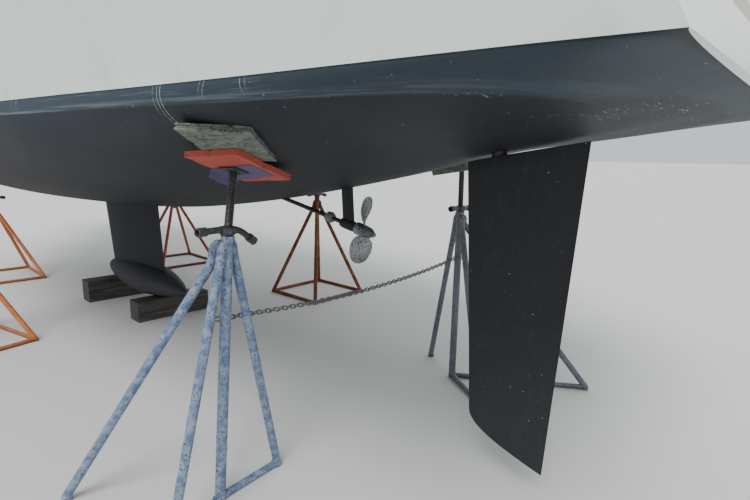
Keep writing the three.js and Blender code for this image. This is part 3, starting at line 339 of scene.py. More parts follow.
def rusted(name):
    look = Look(name)
    bloom, pits = look.noise(9, 7, 0.65, warp=0.6), look.noise(120, 5, 0.7)
    stops = [(0.2, paint(62, 38, 28)), (0.45, paint(122, 72, 44)), (0.62, paint(164, 100, 60)),
             (0.8, paint(100, 60, 42))]
    look.base = look.node("ShaderNodeValToRGB", {"stops": stops}, {0: bloom})
    look.coat(pits * 0.35, paint(44, 30, 26))
    return look.done(0.75 + pits * 0.2, normal=look.bumped(pits, 0.0008))


def bare_metal(name, color, roughness, metallic=1.0, brushed=(4, 4, 90), stain=(96, 74, 54), stained=0.12):
    look = Look(name)
    lines, cloud = look.noise(1.0, 5, 0.6, tuple(b * 6 for b in brushed)), look.noise(6, 4)
    tea = look.patches(0.62, 0.8, 14, 6, 0.7) * stained
    look.start(cloud, color, deeper(color, 0.78))
    look.coat(tea, paint(*stain))
    return look.done(roughness + lines * 0.12 + tea, metallic, look.bumped(lines, 0.00012))


def grown_over():
    """Bronze under a dried coat of pale, speckled marine growth."""
    look = Look("propeller_growth")
    crust, patches = look.noise(130, 7, 0.74, warp=0.6), look.noise(9, 5, 0.6)
    cover = look.between(crust + (patches - 0.5) * 0.35, 0.46, 0.56)
    look.start(patches, paint(44, 46, 50), paint(70, 72, 74))
    look.coat(cover * 0.85, look.mix(look.noise(240, 3), paint(150, 154, 156), paint(204, 208, 208)))
    return look.done(0.6 + cover * 0.3, 0.1, look.bumped(crust, 0.0018))


def old_timber(name, dark, pale, grain_along=(38, 2.2, 38)):
    look = Look(name)
    grain = look.noise(1.0, 7, 0.66, grain_along, warp=0.4)
    cracks = look.patches(0.36, 0.3, 1.0, 3, 0.5, tuple(g * 1.7 for g in grain_along))
    look.start(look.between(grain, 0.32, 0.7), dark, pale)
    look.coat(look.patches(0.6, 0.75, 7, 5, 0.6) * 0.5, paint(112, 88, 66))
    look.coat(cracks, paint(18, 16, 14))
    return look.done(0.72 + grain * 0.2, normal=look.bumped(cracks, -0.002, look.bumped(grain, 0.0016)))


def mossy_board():
    look = Look("mossy_plywood")
    grain = look.noise(1.0, 6, 0.66, (14, 60, 60), warp=0.3)
    moss = look.noise(34, 7, 0.74, warp=0.5)
    look.start(grain, paint(88, 94, 86), paint(128, 132, 120))
    look.coat(look.between(moss, 0.45, 0.6), paint(62, 78, 66))
    look.coat(look.patches(0.56, 0.68, 150, 5, 0.7) * 0.6, paint(168, 176, 166))
    return look.done(0.85, normal=look.bumped(moss, 0.002, look.bumped(grain, 0.0012)))


def painted_board(name, color, faded, dirt):
    look = Look(name)
    grain = look.noise(1.0, 5, 0.6, (80, 12, 80))
    look.start(look.noise(8, 5, 0.6), color, faded)
    look.coat(look.patches(0.56, 0.7, 19, 6, 0.7, warp=0.7) * 0.6, dirt)
    return look.done(0.55 + grain * 0.25, normal=look.bumped(grain, 0.0008))


def smooth_plastic(name, color, roughness=0.45):
    look = Look(name)
    dusty = look.patches(0.55, 0.8, 30, 6, 0.7)
    look.start(look.noise(11, 4), color, deeper(color, 0.72))
    look.coat(dusty * 0.2, paint(150, 148, 140))
    return look.done(roughness + dusty * 0.2, normal=look.bumped(look.noise(260, 3), 0.0002))


def pale_floor():
    look = Look("pale_floor")
    grit = look.noise(60, 4, 0.6)
    look.start(look.noise(0.6, 4), paint(205, 205, 202), paint(214, 214, 211))
    look.coat(grit * 0.08, paint(176, 176, 172))
    return look.done(0.8 + grit * 0.1, normal=look.bumped(grit, 0.0008))


TOPSIDES = gelcoat("topsides_gelcoat", paint(229, 234, 229), paint(216, 222, 215))
MOULDED = gelcoat("deck_gelcoat", paint(222, 221, 213), paint(208, 206, 196), 0.2)
LINER = gelcoat("inside_gelcoat", paint(212, 210, 202), paint(190, 188, 178), 0.5)
HULL_PAINT = hull_paint()
KEEL_PAINT = dark_paint("keel_antifouling", paint(34, 35, 39), paint(50, 51, 56))
# The bulb takes a lighter copy of the keel's antifouling: painted light that makes up for the hull's shadow
# over it.
BULB_LIGHTENED_PAINT = dark_paint("bulb_antifouling_painted_light", paint(52, 52, 57), paint(72, 71, 76))
BLADE_PAINT = dark_paint("rudder_antifouling", paint(34, 35, 38), paint(50, 51, 55), 16, 0.045)
STAINLESS = bare_metal("stainless", paint(188, 190, 194), 0.2)
DARK_STEEL = bare_metal("shaft_steel", paint(74, 72, 70), 0.42, 0.8, (4, 90, 90), (92, 66, 48), 0.6)
SPAR = bare_metal("anodised_spar", paint(196, 198, 200), 0.38, 0.85, (60, 60, 2))
ZINC = bare_metal("zinc_anode", paint(128, 130, 130), 0.7, 0.5, (60, 60, 60), (206, 206, 200), 0.8)
WIRE_ROPE = bare_metal("wire_rope", paint(158, 160, 164), 0.34, 1.0, (30, 30, 30))
CHAIN_STEEL = bare_metal("chain_steel", paint(132, 133, 137), 0.5, 0.8, (20, 20, 20), (100, 72, 54), 0.7)
GROWTH = grown_over()
BLACK_PIPE = worn_paint("screw_pipe", paint(34, 34, 37), paint(50, 49, 50), paint(66, 54, 48), 0.3, 0.0, 70)
STAND_PAINT = {
    "blue": worn_paint("stand_blue", paint(82, 104, 138), paint(138, 151, 170), paint(70, 76, 94), 0.6, 0.0,
                       80, 26),
    "orange": worn_paint("stand_orange", paint(192, 104, 48), paint(202, 128, 76), paint(96, 62, 44)),
    "rust": rusted("stand_rust"),
    "grey": worn_paint("stand_grey", paint(84, 90, 98), paint(106, 112, 119), paint(70, 60, 54), 0.4, 0.03,
                       50),
    "red": worn_paint("stand_red", paint(150, 62, 44), paint(172, 88, 66), paint(84, 56, 42), 0.5, 0.12),
}
TIMBER = old_timber("keel_block_timber", paint(50, 48, 48), paint(92, 87, 81))
TEAK = old_timber("teak", paint(116, 84, 58), paint(158, 122, 88), (3, 70, 70))
PLYWOOD = mossy_board()
RED_BOARD = painted_board("red_board", paint(158, 62, 50), paint(186, 84, 66), paint(92, 36, 40))
PURPLE = painted_board("purple_sheet", paint(72, 66, 104), paint(96, 86, 124), paint(104, 52, 66))
TINTED = smooth_plastic("tinted_acrylic", paint(24, 28, 32), 0.12)
BLACK_RUBBER = smooth_plastic("black_rubber", paint(26, 26, 27), 0.6)
ENGINE_PAINT = smooth_plastic("engine_paint", paint(92, 104, 106), 0.5)
LEATHER = smooth_plastic("wheel_grip", paint(52, 44, 38), 0.6)
RED_LENS = smooth_plastic("red_lens", paint(168, 34, 30), 0.15)
GREEN_LENS = smooth_plastic("green_lens", paint(26, 130, 76), 0.15)
CLEAR_LENS = smooth_plastic("clear_lens", paint(218, 220, 214), 0.15)


# Shapes, each a list of points and a list of faces
def bezier(t, *p):
    return p[0] if len(p) == 1 else bezier(t, *[a + (b - a) * t for a, b in zip(p, p[1:])])


def whole_turn(steps):
    """The angles of one turn, in equal steps."""
    return [2 * math.pi * k / steps for k in range(steps)]


def smooth_rows(rows, steps):
    """A smooth run of rows through the given ones, with steps rows to each gap."""
    rows = np.array(rows, float)
    padded = np.vstack([2 * rows[0] - rows[1], rows, 2 * rows[-1] - rows[-2]])
    out = []
    for a, b, c, d in zip(padded, padded[1:], padded[2:], padded[3:]):
        bend, twist = 2 * a - 5 * b + 4 * c - d, 3 * b - a - 3 * c + d
        out += [0.5 * (2 * b + (c - a) * t + bend * t**2 + twist * t**3) for t in np.arange(steps) / steps]
    return np.vstack([out, rows[-1]])


def path_through(points, steps=8):
    """More points on a smooth curve through the given ones."""
    return [Vector(p) for p in smooth_rows(points, steps)]


def skin(rings, caps=True, loop=False):
    """A skin over rings that have the same number of points. loop joins the last ring to the first."""
    count = len(rings[0])
    faces = []
    for row in range(len(rings) if loop else len(rings) - 1):
        near, far = row * count, (row + 1) % len(rings) * count
        faces += [(near + i, near + (i + 1) % count, far + (i + 1) % count, far + i) for i in range(count)]
    if caps and not loop:
        faces += [tuple(range(count)), tuple(range((len(rings) - 1) * count, len(rings) * count))]
    return [p for ring in rings for p in ring], faces


def tube(path, radius, sides=16, loop=False, flat=1.0):
    """A tube along points. radius may be a list, and flat squeezes the section one way."""
    path = [Vector(p) for p in path]
    radii = radius if isinstance(radius, list) else [radius] * len(path)
    reach = [path[-1], *path, path[0]] if loop else [path[0], *path, path[-1]]
    steps = [b - a for a, b in zip(reach, reach[2:])]
    side = steps[0].orthogonal().normalized()
    rings = []
    for point, step, r in zip(path, steps, radii):
        step = step.normalized()
        side = (side - step * side.dot(step)).normalized()
        other = step.cross(side)
        rings.append([point + side * (r * math.cos(a)) + other * (r * flat * math.sin(a))
                      for a in whole_turn(sides)])
    return skin(rings, loop=loop)


def turned(profile, start, along=UP, sides=28):
    """A turned shape: (distance, radius) pairs along an axis."""
    along = Vector(along).normalized()
    return tube([Vector(start) + along * d for d, _ in profile], [max(r, 1e-5) for _, r in profile], sides)


def rod(start, end, radius, sides=16, thin=None):
    """A round bar with softened ends, thin at its far end if that is given."""
    run = Vector(end) - Vector(start)
    length, thin = run.length, thin or radius
    soft = min(0.15 * radius, length / 3)
    profile = [(0, radius - soft), (soft, radius), (length - soft, thin), (length, thin - soft)]
    return turned(profile, start, run, sides)


def block(corner, far_corner, edge=0.004, place=(0, 0, 0), segments=2):
    """A block with rounded edges between two corners, which are given from a place."""
    ends = [[pick(*pair) for pair in zip(corner, far_corner)] for pick in (min, max)]
    low, high = (Vector(place) + Vector(end) for end in ends)
    size, middle = high - low, (low + high) / 2
    made = bmesh.new()
    bmesh.ops.create_cube(made, size=1)
    bmesh.ops.scale(made, vec=size, verts=made.verts)
    edge = min(edge, min(size) * 0.45)
    bmesh.ops.bevel(made, geom=made.edges[:], offset=edge, segments=segments, affect="EDGES", profile=0.5)
    shape = [middle + v.co for v in made.verts], [[v.index for v in f.verts] for f in made.faces]
    made.free()
    return shape


def inset(outline, distance):
    """A flat outline drawn in by a distance. The outline runs anticlockwise."""
    points = [Vector(p) for p in outline]
    out = []
    for before, p, after in zip([points[-1], *points], points, [*points[1:], points[0]]):
        a, b = (p - before).normalized(), (after - p).normalized()
        normals = Vector((-a.y, a.x)), Vector((-b.y, b.x))
        middle = (normals[0] + normals[1]).normalized()
        out.append(p + middle * (distance / max(middle.dot(normals[0]), 0.3)))
    return out


def laid(place, loops, loop=False):
    """A skin over flat outlines, each at a height. place is a matrix that takes x, y and height."""
    return skin([[place @ Vector((*p, z)) for p in outline] for outline, z in loops], loop=loop)


def plate(outline, thick, place, edge=0.002):
    """A flat plate with softened rims."""
    drawn_in = inset(outline, edge)
    return laid(place, [(drawn_in, 0), (outline, edge), (outline, thick - edge), (drawn_in, thick)])


def framed(outer, inner, low, high, edge, place=Matrix()):
    """A flat ring between two outlines with as many points each."""
    rim, lip = inset(outer, edge), inset(inner, -edge)
    loops = [(outer, low), (outer, high - edge), (rim, high), (lip, high), (inner, high - edge), (inner, low)]
    return laid(place, loops, loop=True)


def circle(radius, count=28):
    return [(radius * math.cos(a), radius * math.sin(a)) for a in whole_turn(count)]


def rounded(width, height, corner, steps=6, middle=(0, 0)):
    """A rectangle's outline with round corners, anticlockwise."""
    out = []
    for k, (sx, sy) in enumerate(((1, 1), (-1, 1), (-1, -1), (1, -1))):
        cx, cy = middle[0] + sx * (width / 2 - corner), middle[1] + sy * (height / 2 - corner)
        angles = [math.pi / 2 * (k + i / steps) for i in range(steps + 1)]
        out += [(cx + corner * math.cos(a), cy + corner * math.sin(a)) for a in angles]
    return out


def axes(x, y, z):
    """A matrix that turns the three axes into the given ones."""
    return Matrix((x, y, z)).transposed().to_4x4()


def upright_frame(origin, along):
    """A matrix whose z is along, and whose origin is given."""
    along = Vector(along).normalized()
    side = along.orthogonal().normalized()
    if abs(along.z) > 0.5:
        side = (FORWARD - along * along.x).normalized()
    return Matrix.Translation(Vector(origin)) @ axes(side, along.cross(side), along)


def open_socket(start, along, length, outer, inner, sides=24):
    """A short pipe, open at its far end so that its bore shows."""
    lip, bore_ends = 0.0012, 0.012
    rings = [(outer - lip, 0), (outer, lip), (outer, length - lip), (outer - lip, length), (inner, length),
             (inner, bore_ends)]
    return laid(upright_frame(start, along), [(circle(radius, sides), z) for radius, z in rings])


def bolts(places, radius, along=UP):
    profile = [(0, radius), (radius * 0.5, radius * 0.85), (radius * 0.7, radius * 0.4)]
    return [turned(profile, place, along, 10) for place in places]


class Piece:
    """One named piece, gathered from shapes that each have a finish. shift moves it into the shared frame."""

    def __init__(self, name, body="yacht", shift=RUDDER_X):
        self.name, self.body, self.shift = name, body, shift
        self.points, self.faces, self.face_looks, self.looks = [], [], [], []

    def add(self, look, *shapes):
        if look not in self.looks:
            self.looks.append(look)
        for points, faces in shapes:
            first = len(self.points)
            self.points += points
            self.faces += [[first + i for i in face] for face in faces]
            self.face_looks += [self.looks.index(look)] * len(faces)
        return self

    def object(self):
        mesh = bpy.data.meshes.new(self.name)
        mesh.from_pydata([(x + self.shift, y, z) for x, y, z in self.points], [], self.faces)
        for look in self.looks:
            mesh.materials.append(look)
        mesh.polygons.foreach_set("material_index", self.face_looks)
        made = bmesh.new()
        made.from_mesh(mesh)
        bmesh.ops.recalc_face_normals(made, faces=made.faces[:])
        made.to_mesh(mesh)
        made.free()
        piece = bpy.data.objects.new(self.name, mesh)
        bpy.context.collection.objects.link(piece)
        return piece

    def make(self, slot, *stands_for, crease=38):
        return settle(self.object(), self.body, slot, *stands_for, crease=crease)


def settle(piece, body, slot, *stands_for, crease=38):
    """Smooths a piece, sets it on its body and hides the CAD nodes it stands for."""
    piece.data.shade_smooth()
    piece.data.set_sharp_from_angle(angle=math.radians(crease))
    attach(piece, body)
    if stands_for:
        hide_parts(*stands_for)
    return piece


def carve(piece, look, *cutters):
    """Cuts shapes out of a piece. What they bare gets the look."""
    if look not in list(piece.data.materials):
        piece.data.materials.append(look)
    for shape in cutters:
        cutter = Piece("cutter")
        cutter.looks = list(piece.data.materials)
        tool = cutter.add(look, shape).object()
        cut = piece.modifiers.new("cut", "BOOLEAN")
        cut.operation, cut.solver, cut.object, cut.material_mode = "DIFFERENCE", "MANIFOLD", tool, "INDEX"
        graph = bpy.context.evaluated_depsgraph_get()
        mesh = bpy.data.meshes.new_from_object(piece.evaluated_get(graph))
        piece.modifiers.clear()
        piece.data = mesh
        bpy.data.objects.remove(tool)


def box(x0, x1, y0, y1, z0, z1):
    """A plain box for cutting."""
    return skin([[(x, y0, z0), (x, y1, z0), (x, y1, z1), (x, y0, z1)] for x in (x0, x1)])


def finish_node(name, look, soften):
    """Gives a CAD node its finish, and softens its square edges."""
    node = nodes[name]
    for slot in node.material_slots:
        slot.material = look
    node.modifiers.new("weld", "WELD").merge_threshold = 0.00005
    bevel = node.modifiers.new("soften", "BEVEL")
    bevel.width, bevel.segments, bevel.limit_method = soften, 2, "ANGLE"
    bevel.angle_limit = math.radians(35)


# Hull
BOTTOM_STEPS, SIDE_STEPS, DECK_STEPS = 30, 12, 8


def half_section(row, bottom_steps=BOTTOM_STEPS, side_steps=SIDE_STEPS):
    """Half a hull section: from the keel out to the paint line, and up to the sheer."""
    keel, keel_z, water, water_half, sheer, sheer_half, sheer_z, deadrise, fullness, turn = row
    half = water_half * fullness
    out = 0, half, water_half * 0.995, water_half
    up = keel_z, keel_z + deadrise * half * 0.6, WATERLINE - turn * (WATERLINE - keel_z), WATERLINE
    flare = water_half, water_half + 0.62 * (sheer_half - water_half), sheer_half
    low = [(bezier(t, keel, water), bezier(t, *out), bezier(t, *up))
           for t in np.arange(bottom_steps + 1) / bottom_steps]
    return low + [(bezier(t, water, sheer), bezier(t, *flare), bezier(t, WATERLINE, sheer_z))
                  for t in np.arange(1, side_steps + 1) / side_steps]


def deck_height(row, y):
    return row[6] + DECK_CAMBER * row[5] * (1 - (y / row[5]) ** 2)


def hull_ring(row):
    across = [row[5] * (1 - k / DECK_STEPS) for k in range(1, DECK_STEPS + 1)]
    port = half_section(row) + [(row[4], y, deck_height(row, y)) for y in across]
    return port + [(x, -y, z) for x, y, z in port[-2:0:-1]]


FINE_LINES = smooth_rows(LINES, 8)


def hull_solid():
    rings = [hull_ring(row) for row in FINE_LINES]
    points, faces = skin(rings, caps=False)
    count = len(rings[0])
    middle = count // 2
    for first in (0, len(points) - count):
        faces.append((first, first + 1, first + count - 1))
        for i in range(first + 1, first + middle - 1):
            across = 2 * first + count - i
            faces.append((i, i + 1, across - 1, across))
        faces.append((first + middle - 1, first + middle, first + middle + 1))
    return points, faces


def bottom_z(x, y):
    """The hull's underside in the part, at a place forward of the rudder and across."""
    rows = [line for line in zip(LINES, LINES[1:]) if x <= line[1][0]][0]
    t = (x - rows[0][0]) / (rows[1][0] - rows[0][0])
    low, high = (np.array(half_section(row, 8, 3)) for row in rows)
    curve = low + (high - low) * t
    return float(np.interp(abs(y), curve[:9, 1], curve[:9, 2]))


def cabin_hole(rows):
    """A hole over the cabin, from places forward of the rudder and half widths."""
    low, high = 1.78, 5
    return skin([[(x, half, low), (x, half, high), (x, -half, high), (x, -half, low)] for x, half in rows])


COCKPIT_HOLE = box(-0.3503, 2.3003, -1.1503, 1.1503, 2.5497, 5)
SCOOP_HOLES = [box(-2, -0.72, -0.75, 0.75, 2.3, 5), box(-2, -0.35, -0.75, 0.75, 2.46, 5)]
DOOR_HOLE = box(2.299, 3.0, -0.33, 0.33, 3.02, 5)
ENGINE_BAY = box(2.46, 3.34, -0.31, 0.31, 1.5997, 2.9)
FORE_HATCH_HOLE = box(8.08, 8.52, -0.22, 0.22, 2.9, 5)
LOCKER_HATCH_HOLE = box(9.42, 9.7, -0.14, 0.14, 3.05, 5)
SALOON_HATCH_HOLE = box(4.07, 4.53, -0.23, 0.23, 3.3, 5)
CABIN_HOLE = cabin_hole([(2.45, 1.03), (3.9, 1.04), (5.4, 0.98), (6.6, 0.81), (6.7, 0.81)])
# The deck runs in under the coachroof's sides
DECK_HOLE = cabin_hole([(2.45, 1.0), (3.9, 1.0), (5.4, 0.93), (6.6, 0.73), (6.7, 0.72)])
RUDDER_TUBE = tube([(-0.18, 0, 1), (-0.18, 0, 2.34)], 0.0388, 32)
STERN_TUBE = tube([on_shaft(0.3), on_shaft(1.48)], 0.018, 24)

hull = Piece("hull_skin").add(TOPSIDES, hull_solid())
hull.looks.append(HULL_PAINT)
ring_size = len(hull_ring(LINES[0]))
for i in range((len(FINE_LINES) - 1) * ring_size):
    across = i % ring_size
    if across < BOTTOM_STEPS or across >= ring_size - BOTTOM_STEPS:
        hull.face_looks[i] = 1
hull = hull.object()
carve(hull, LINER, COCKPIT_HOLE)
carve(hull, MOULDED, *SCOOP_HOLES)
carve(hull, LINER, DOOR_HOLE, CABIN_HOLE, ENGINE_BAY, FORE_HATCH_HOLE, LOCKER_HATCH_HOLE, RUDDER_TUBE,
      STERN_TUBE)
settle(hull, "yacht", "topsides", "hull_aft", "hull_middle", "hull_forward", crease=30)


# Keel and its blocks
def foil_width(c, thick, least):
    """A foil's half width at a share of its chord."""
    wide = 1.4845 * math.sqrt(c) - 0.63 * c - 1.758 * c**2 + 1.4215 * c**3 - 0.518 * c**4
    return max(thick * wide, least)


def chord(count):
    """Shares of a chord, closest together at its two ends."""
    return (1 - np.cos(np.linspace(0, math.pi, count))) / 2


def foil(leading, trailing, z, thick, count=26):
    """A keel or strut section, from the leading edge round by port and back."""
    half = [(leading - s * (leading - trailing), foil_width(s, thick, 0.002 if s else 0), z)
            for s in chord(count)]
    return half + [(x, -y, z) for x, y, z in half[:0:-1]]


fin_rings = []
for z in np.linspace(0.36, 1.26, 14):
    share = (z - 0.38) / 1.12
    fin_rings.append(foil(5.05 + 0.24 * share, 3.7 + 0.12 * share, z, 0.171 + 0.019 * share))
Piece("keel_fin_skin").add(KEEL_PAINT, skin(fin_rings)).make("antifouling", "keel_fin")

BULB = {"nose": 5.18, "length": 1.98, "middle": 0.36, "half_width": 0.215, "half_height": 0.165,
        "tail_from": 0.55}
bulb_rings = []
for s in np.concatenate([np.linspace(0, 0.12, 9)[:-1] ** 1.6 * 0.12 ** -0.6, np.linspace(0.12, 1, 34)]):
    tail = max(0, (s - BULB["tail_from"]) / (1 - BULB["tail_from"]))
    wide = max(math.sin(math.pi * min(s * 1.9, 1) / 2) ** 0.5 * (1 - tail ** 1.7), 0.02)
    middle = BULB["middle"] + 0.055 * max(0, 0.25 - s)
    bulb_rings.append([(BULB["nose"] - s * BULB["length"], y, middle + z) for y, z in
                       ((BULB["half_width"] * wide * math.cos(a), BULB["half_height"] * wide * math.sin(a))
                        for a in whole_turn(36))])
Piece("keel_bulb_skin").add(BULB_LIGHTENED_PAINT, skin(bulb_rings)).make("antifouling", "keel_bulb")

for name in ("keel_block_aft", "keel_block_forward"):
    finish_node(name, TIMBER, 0.006)

# Rudder
TIP = ((-0.095, -0.155, -0.53), (0.375, 0.26, 0.185))
HEAD = ((0.0, -0.62), (1.733, 1.838))
ROUND_TIP = 0.022
blade_rings = []
for s in np.concatenate([[0, 0.002, 0.006, 0.012, 0.022], np.linspace(0.04, 0.996, 22), [1.0]]):
    swell = math.sqrt(max(1 - (1 - min(s / ROUND_TIP, 1)) ** 2, 0.0004))
    thick = (0.06 + 0.04 * s) * swell * (1 if s < 1 else 0.93)
    ring = []
    for side, chords in ((1, chord(28)), (-1, chord(28)[-2:0:-1])):
        for c in chords:
            x, z = (bezier(s, bezier(c, *low), bezier(c, *high)) for low, high in zip(TIP, HEAD))
            ring.append((x, side * foil_width(c, thick, 0.0015), z))
    blade_rings.append(ring)
blade = Piece("rudder_blade_skin", "rudder").add(BLADE_PAINT, skin(blade_rings))
blade.make("blade", "rudder_blade", crease=50)


def grooved(length, radius, every, deep=0.0012):
    """A turned bar's profile with fine grooves."""
    profile = [(0, radius - 0.003), (0.003, radius)]
    for d in np.arange(every, length - 0.02, every):
        floor = radius - deep
        profile += [(d, radius), (d + 0.0015, floor), (d + 0.0045, floor), (d + 0.006, radius)]
    return profile + [(length - 0.003, radius), (length, radius - 0.003)]


stock = turned(grooved(0.73, 0.038, 0.12), (-0.18, 0, 1.6), sides=32)
Piece("rudder_stock_skin", "rudder").add(DARK_STEEL, stock).make("stainless", "rudder_stock")

# Propeller, shaft, anode and bracket
shaft = turned(grooved(1.4125, 0.015, 0.235), on_shaft(0.0603), SHAFT_DIRECTION, 24)
Piece("propeller_shaft_skin", "propeller_line").add(DARK_STEEL, shaft).make("shaft", "propeller_shaft")
anode = Piece("shaft_anode_skin", "propeller_line")
collar = [(0, 0.02), (0.006, 0.03), (0.018, 0.036), (0.052, 0.036), (0.064, 0.03), (0.07, 0.02)]
anode.add(ZINC, turned(collar, on_shaft(0.29), SHAFT_DIRECTION))
for side in (-1, 1):
    screw = on_shaft(0.325) + Vector((0, side * 0.024, 0.026))
    anode.add(STAINLESS, rod(screw, screw + UP * 0.008, 0.006))
anode.make("anode", "shaft_anode")

bracket = Piece("shaft_bracket_skin")
barrel = [(0, 0.026), (0.004, 0.031), (0.03, 0.034), (0.1, 0.034), (0.126, 0.031), (0.13, 0.026)]
bracket.add(KEEL_PAINT, turned(barrel, on_shaft(0.072), SHAFT_DIRECTION, 32))
foot = on_shaft(0.137)
strut = []
for t in np.linspace(0, 1, 14):
    z = foot.z + t * (1.62 - foot.z)
    middle = foot.x + 0.048 * (z - foot.z) / (1.9 - foot.z)
    flare = 1 + 0.5 * max(0, 1 - t / 0.12) ** 2 + 0.6 * max(0, (z - 1.52) / 0.1) ** 2
    strut.append(foil(middle + 0.0525, middle - 0.0525, z, 0.022 * flare, 12))
bracket.add(KEEL_PAINT, skin(strut)).make("growth", "shaft_bracket", crease=50)

BLADE_ROOT, BLADE_SPAN, PITCH = 0.0252, 0.1968, 0.3
propeller = Piece("propeller_skin", "propeller_line")
pitch_turn = Matrix.Rotation(-math.atan2(SHAFT_DIRECTION.z, SHAFT_DIRECTION.x), 4, "Y")
prop_place = Matrix.Translation((HUB_X, 0, HUB_Z)) @ pitch_turn
hub = [(-0.105, 0.004), (-0.103, 0.012), (-0.09, 0.014), (-0.088, 0.02), (-0.07, 0.026), (-0.06, 0.034),
       (-0.02, 0.039), (0.03, 0.041), (0.056, 0.041), (0.06, 0.036)]
points, faces = turned(hub, (0, 0, 0), FORWARD, 32)
propeller.add(GROWTH, ([prop_place @ p for p in points], faces))
for side in (1, -1):
    rings = []
    for s in np.concatenate([np.linspace(0, 0.9, 20), [0.94, 0.97, 0.99, 1.0]]):
        radius = BLADE_ROOT + s * BLADE_SPAN
        width = max(0.16 * math.sqrt(max(0, 1 - (2 * s - 1.05) ** 2)), 0.012) * (0.8 if s > 0.97 else 1)
        angle = math.atan2(PITCH, 2 * math.pi * radius)
        lead, lift = math.sin(angle), math.cos(angle)
        section = [(width / 2 * math.cos(a), 0.0045 * math.sin(a) * (1.6 - s)) for a in whole_turn(24)]
        rings.append([prop_place @ Vector((u * lead + v * lift, side * (v * lead - u * lift), side * radius))
                      for u, v in section])
    propeller.add(GROWTH, skin(rings))
propeller.make("growth", "propeller", crease=60)

# Screw stands
STANDS = [
    # name, foot of the post, its top, where the head meets the hull, where the screw ends, feet, colour
    ("aft_port", (0.665, 1.112), (0.605, 1.05), (0.575, 0.985), (0.69, 0.952),
     ((0.705, 0.73), (0.52, 1.44), (1.21, 1.66)), "blue"),
    ("aft_starboard", (0.69, -0.975), (0.69, -0.975), (0.66, -0.9), (0.66, -0.9),
     ((-0.166, -1.535), (0.285, -0.73), (1.07, -1.195)), "grey"),
    ("middle_port", (4.16, 1.715), (4.16, 1.715), (4.15, 1.44), (4.15, 1.44),
     ((3.84, 1.19), (4.69, 1.4), (4.48, 2.24), (3.63, 2.03)), "orange"),
    ("middle_starboard", (3.4, -1.83), (3.4, -1.83), (3.41, -1.5), (3.41, -1.5),
     ((3.775, -1.42), (3.81, -2.205), (3.025, -2.24), (2.99, -1.455)), "rust"),
    ("forward_port", (6.865, 0.905), (6.865, 0.905), (6.85, 0.83), (6.85, 0.83),
     ((6.44, 0.48), (7.29, 0.48), (7.29, 1.33), (6.44, 1.33)), "orange"),
    ("forward_starboard", (6.305, -1.335), (6.305, -1.335), (6.3, -1.13), (6.3, -1.13),
     ((5.88, -1.76), (6.73, -1.76), (6.73, -0.91), (5.88, -0.91)), "red"),
]
RED_BOARD_LIES = (-67, 0.086, -0.06)
ONE_BOARD = [(0.33, 0.33, 0, 0, 0, PLYWOOD)]
TWO_BOARDS = [
    # length, width, degrees turned, forward and to port of where the head meets the hull, finish
    (0.42, 0.3, -50, -0.113, 0.128, PLYWOOD),
    (0.47, 0.28, *RED_BOARD_LIES, RED_BOARD),
]
LEG, RAIL_TUBE, POST, SCREW = 0.0225, 0.019, 0.027, 0.02
BOARD_STACK, BOARD_SUNK, HEAD_HEIGHT, PLATE_TURNED = 0.06, 0.012, 0.37, -67.03606


def splintered(length, width, chips=5):
    """A board's outline with nibbled edges."""
    random = np.random.default_rng(int(length * 1000 + width * 100))
    corners = [(1, 1), (-1, 1), (-1, -1), (1, -1)]
    outline = []
    for (ax, ay), (bx, by) in zip(corners, corners[1:] + corners[:1]):
        for t in np.linspace(0, 1, chips * 3 + 1)[:-1]:
            gone = 0.004 * random.random() + (0.012 * random.random() if random.random() > 0.85 else 0)
            x, y = ax + (bx - ax) * t, ay + (by - ay) * t
            outline.append((x * (length / 2 - gone), y * (width / 2 - gone)))
    return outline


def weld_bead(middle, along, radius):
    """A lumpy ring of weld round a tube."""
    place = upright_frame(middle, along)
    ring = []
    for k, a in enumerate(whole_turn(36)):
        lumpy = radius + 0.0012 * math.sin(k * 2.7) + 0.001 * math.cos(k * 4.1)
        ring.append(place @ Vector((lumpy * math.cos(a), lumpy * math.sin(a), 0)))
        ring[-1].z = max(ring[-1].z, 0.005)
    return tube(ring, 0.0045, 8, loop=True)


def head_frame(x, y):
    """A frame where a head meets the hull. Its z is square to the hull there."""
    slope_x = (bottom_z(x + 0.15, y) - bottom_z(x - 0.15, y)) / 0.3
    slope_y = (bottom_z(x, y + 0.1) - bottom_z(x, y - 0.1)) / 0.2
    normal = Vector((-slope_x, -slope_y, 1)).normalized()
    ahead = (FORWARD - normal * normal.x).normalized()
    return Matrix.Translation((x, y, bottom_z(x, y))) @ axes(ahead, normal.cross(ahead), normal)


def lying(place, degrees, forward, to_port, height):
    moved = place @ Matrix.Translation((forward, to_port, height))
    return moved @ Matrix.Rotation(math.radians(degrees), 4, "Z")


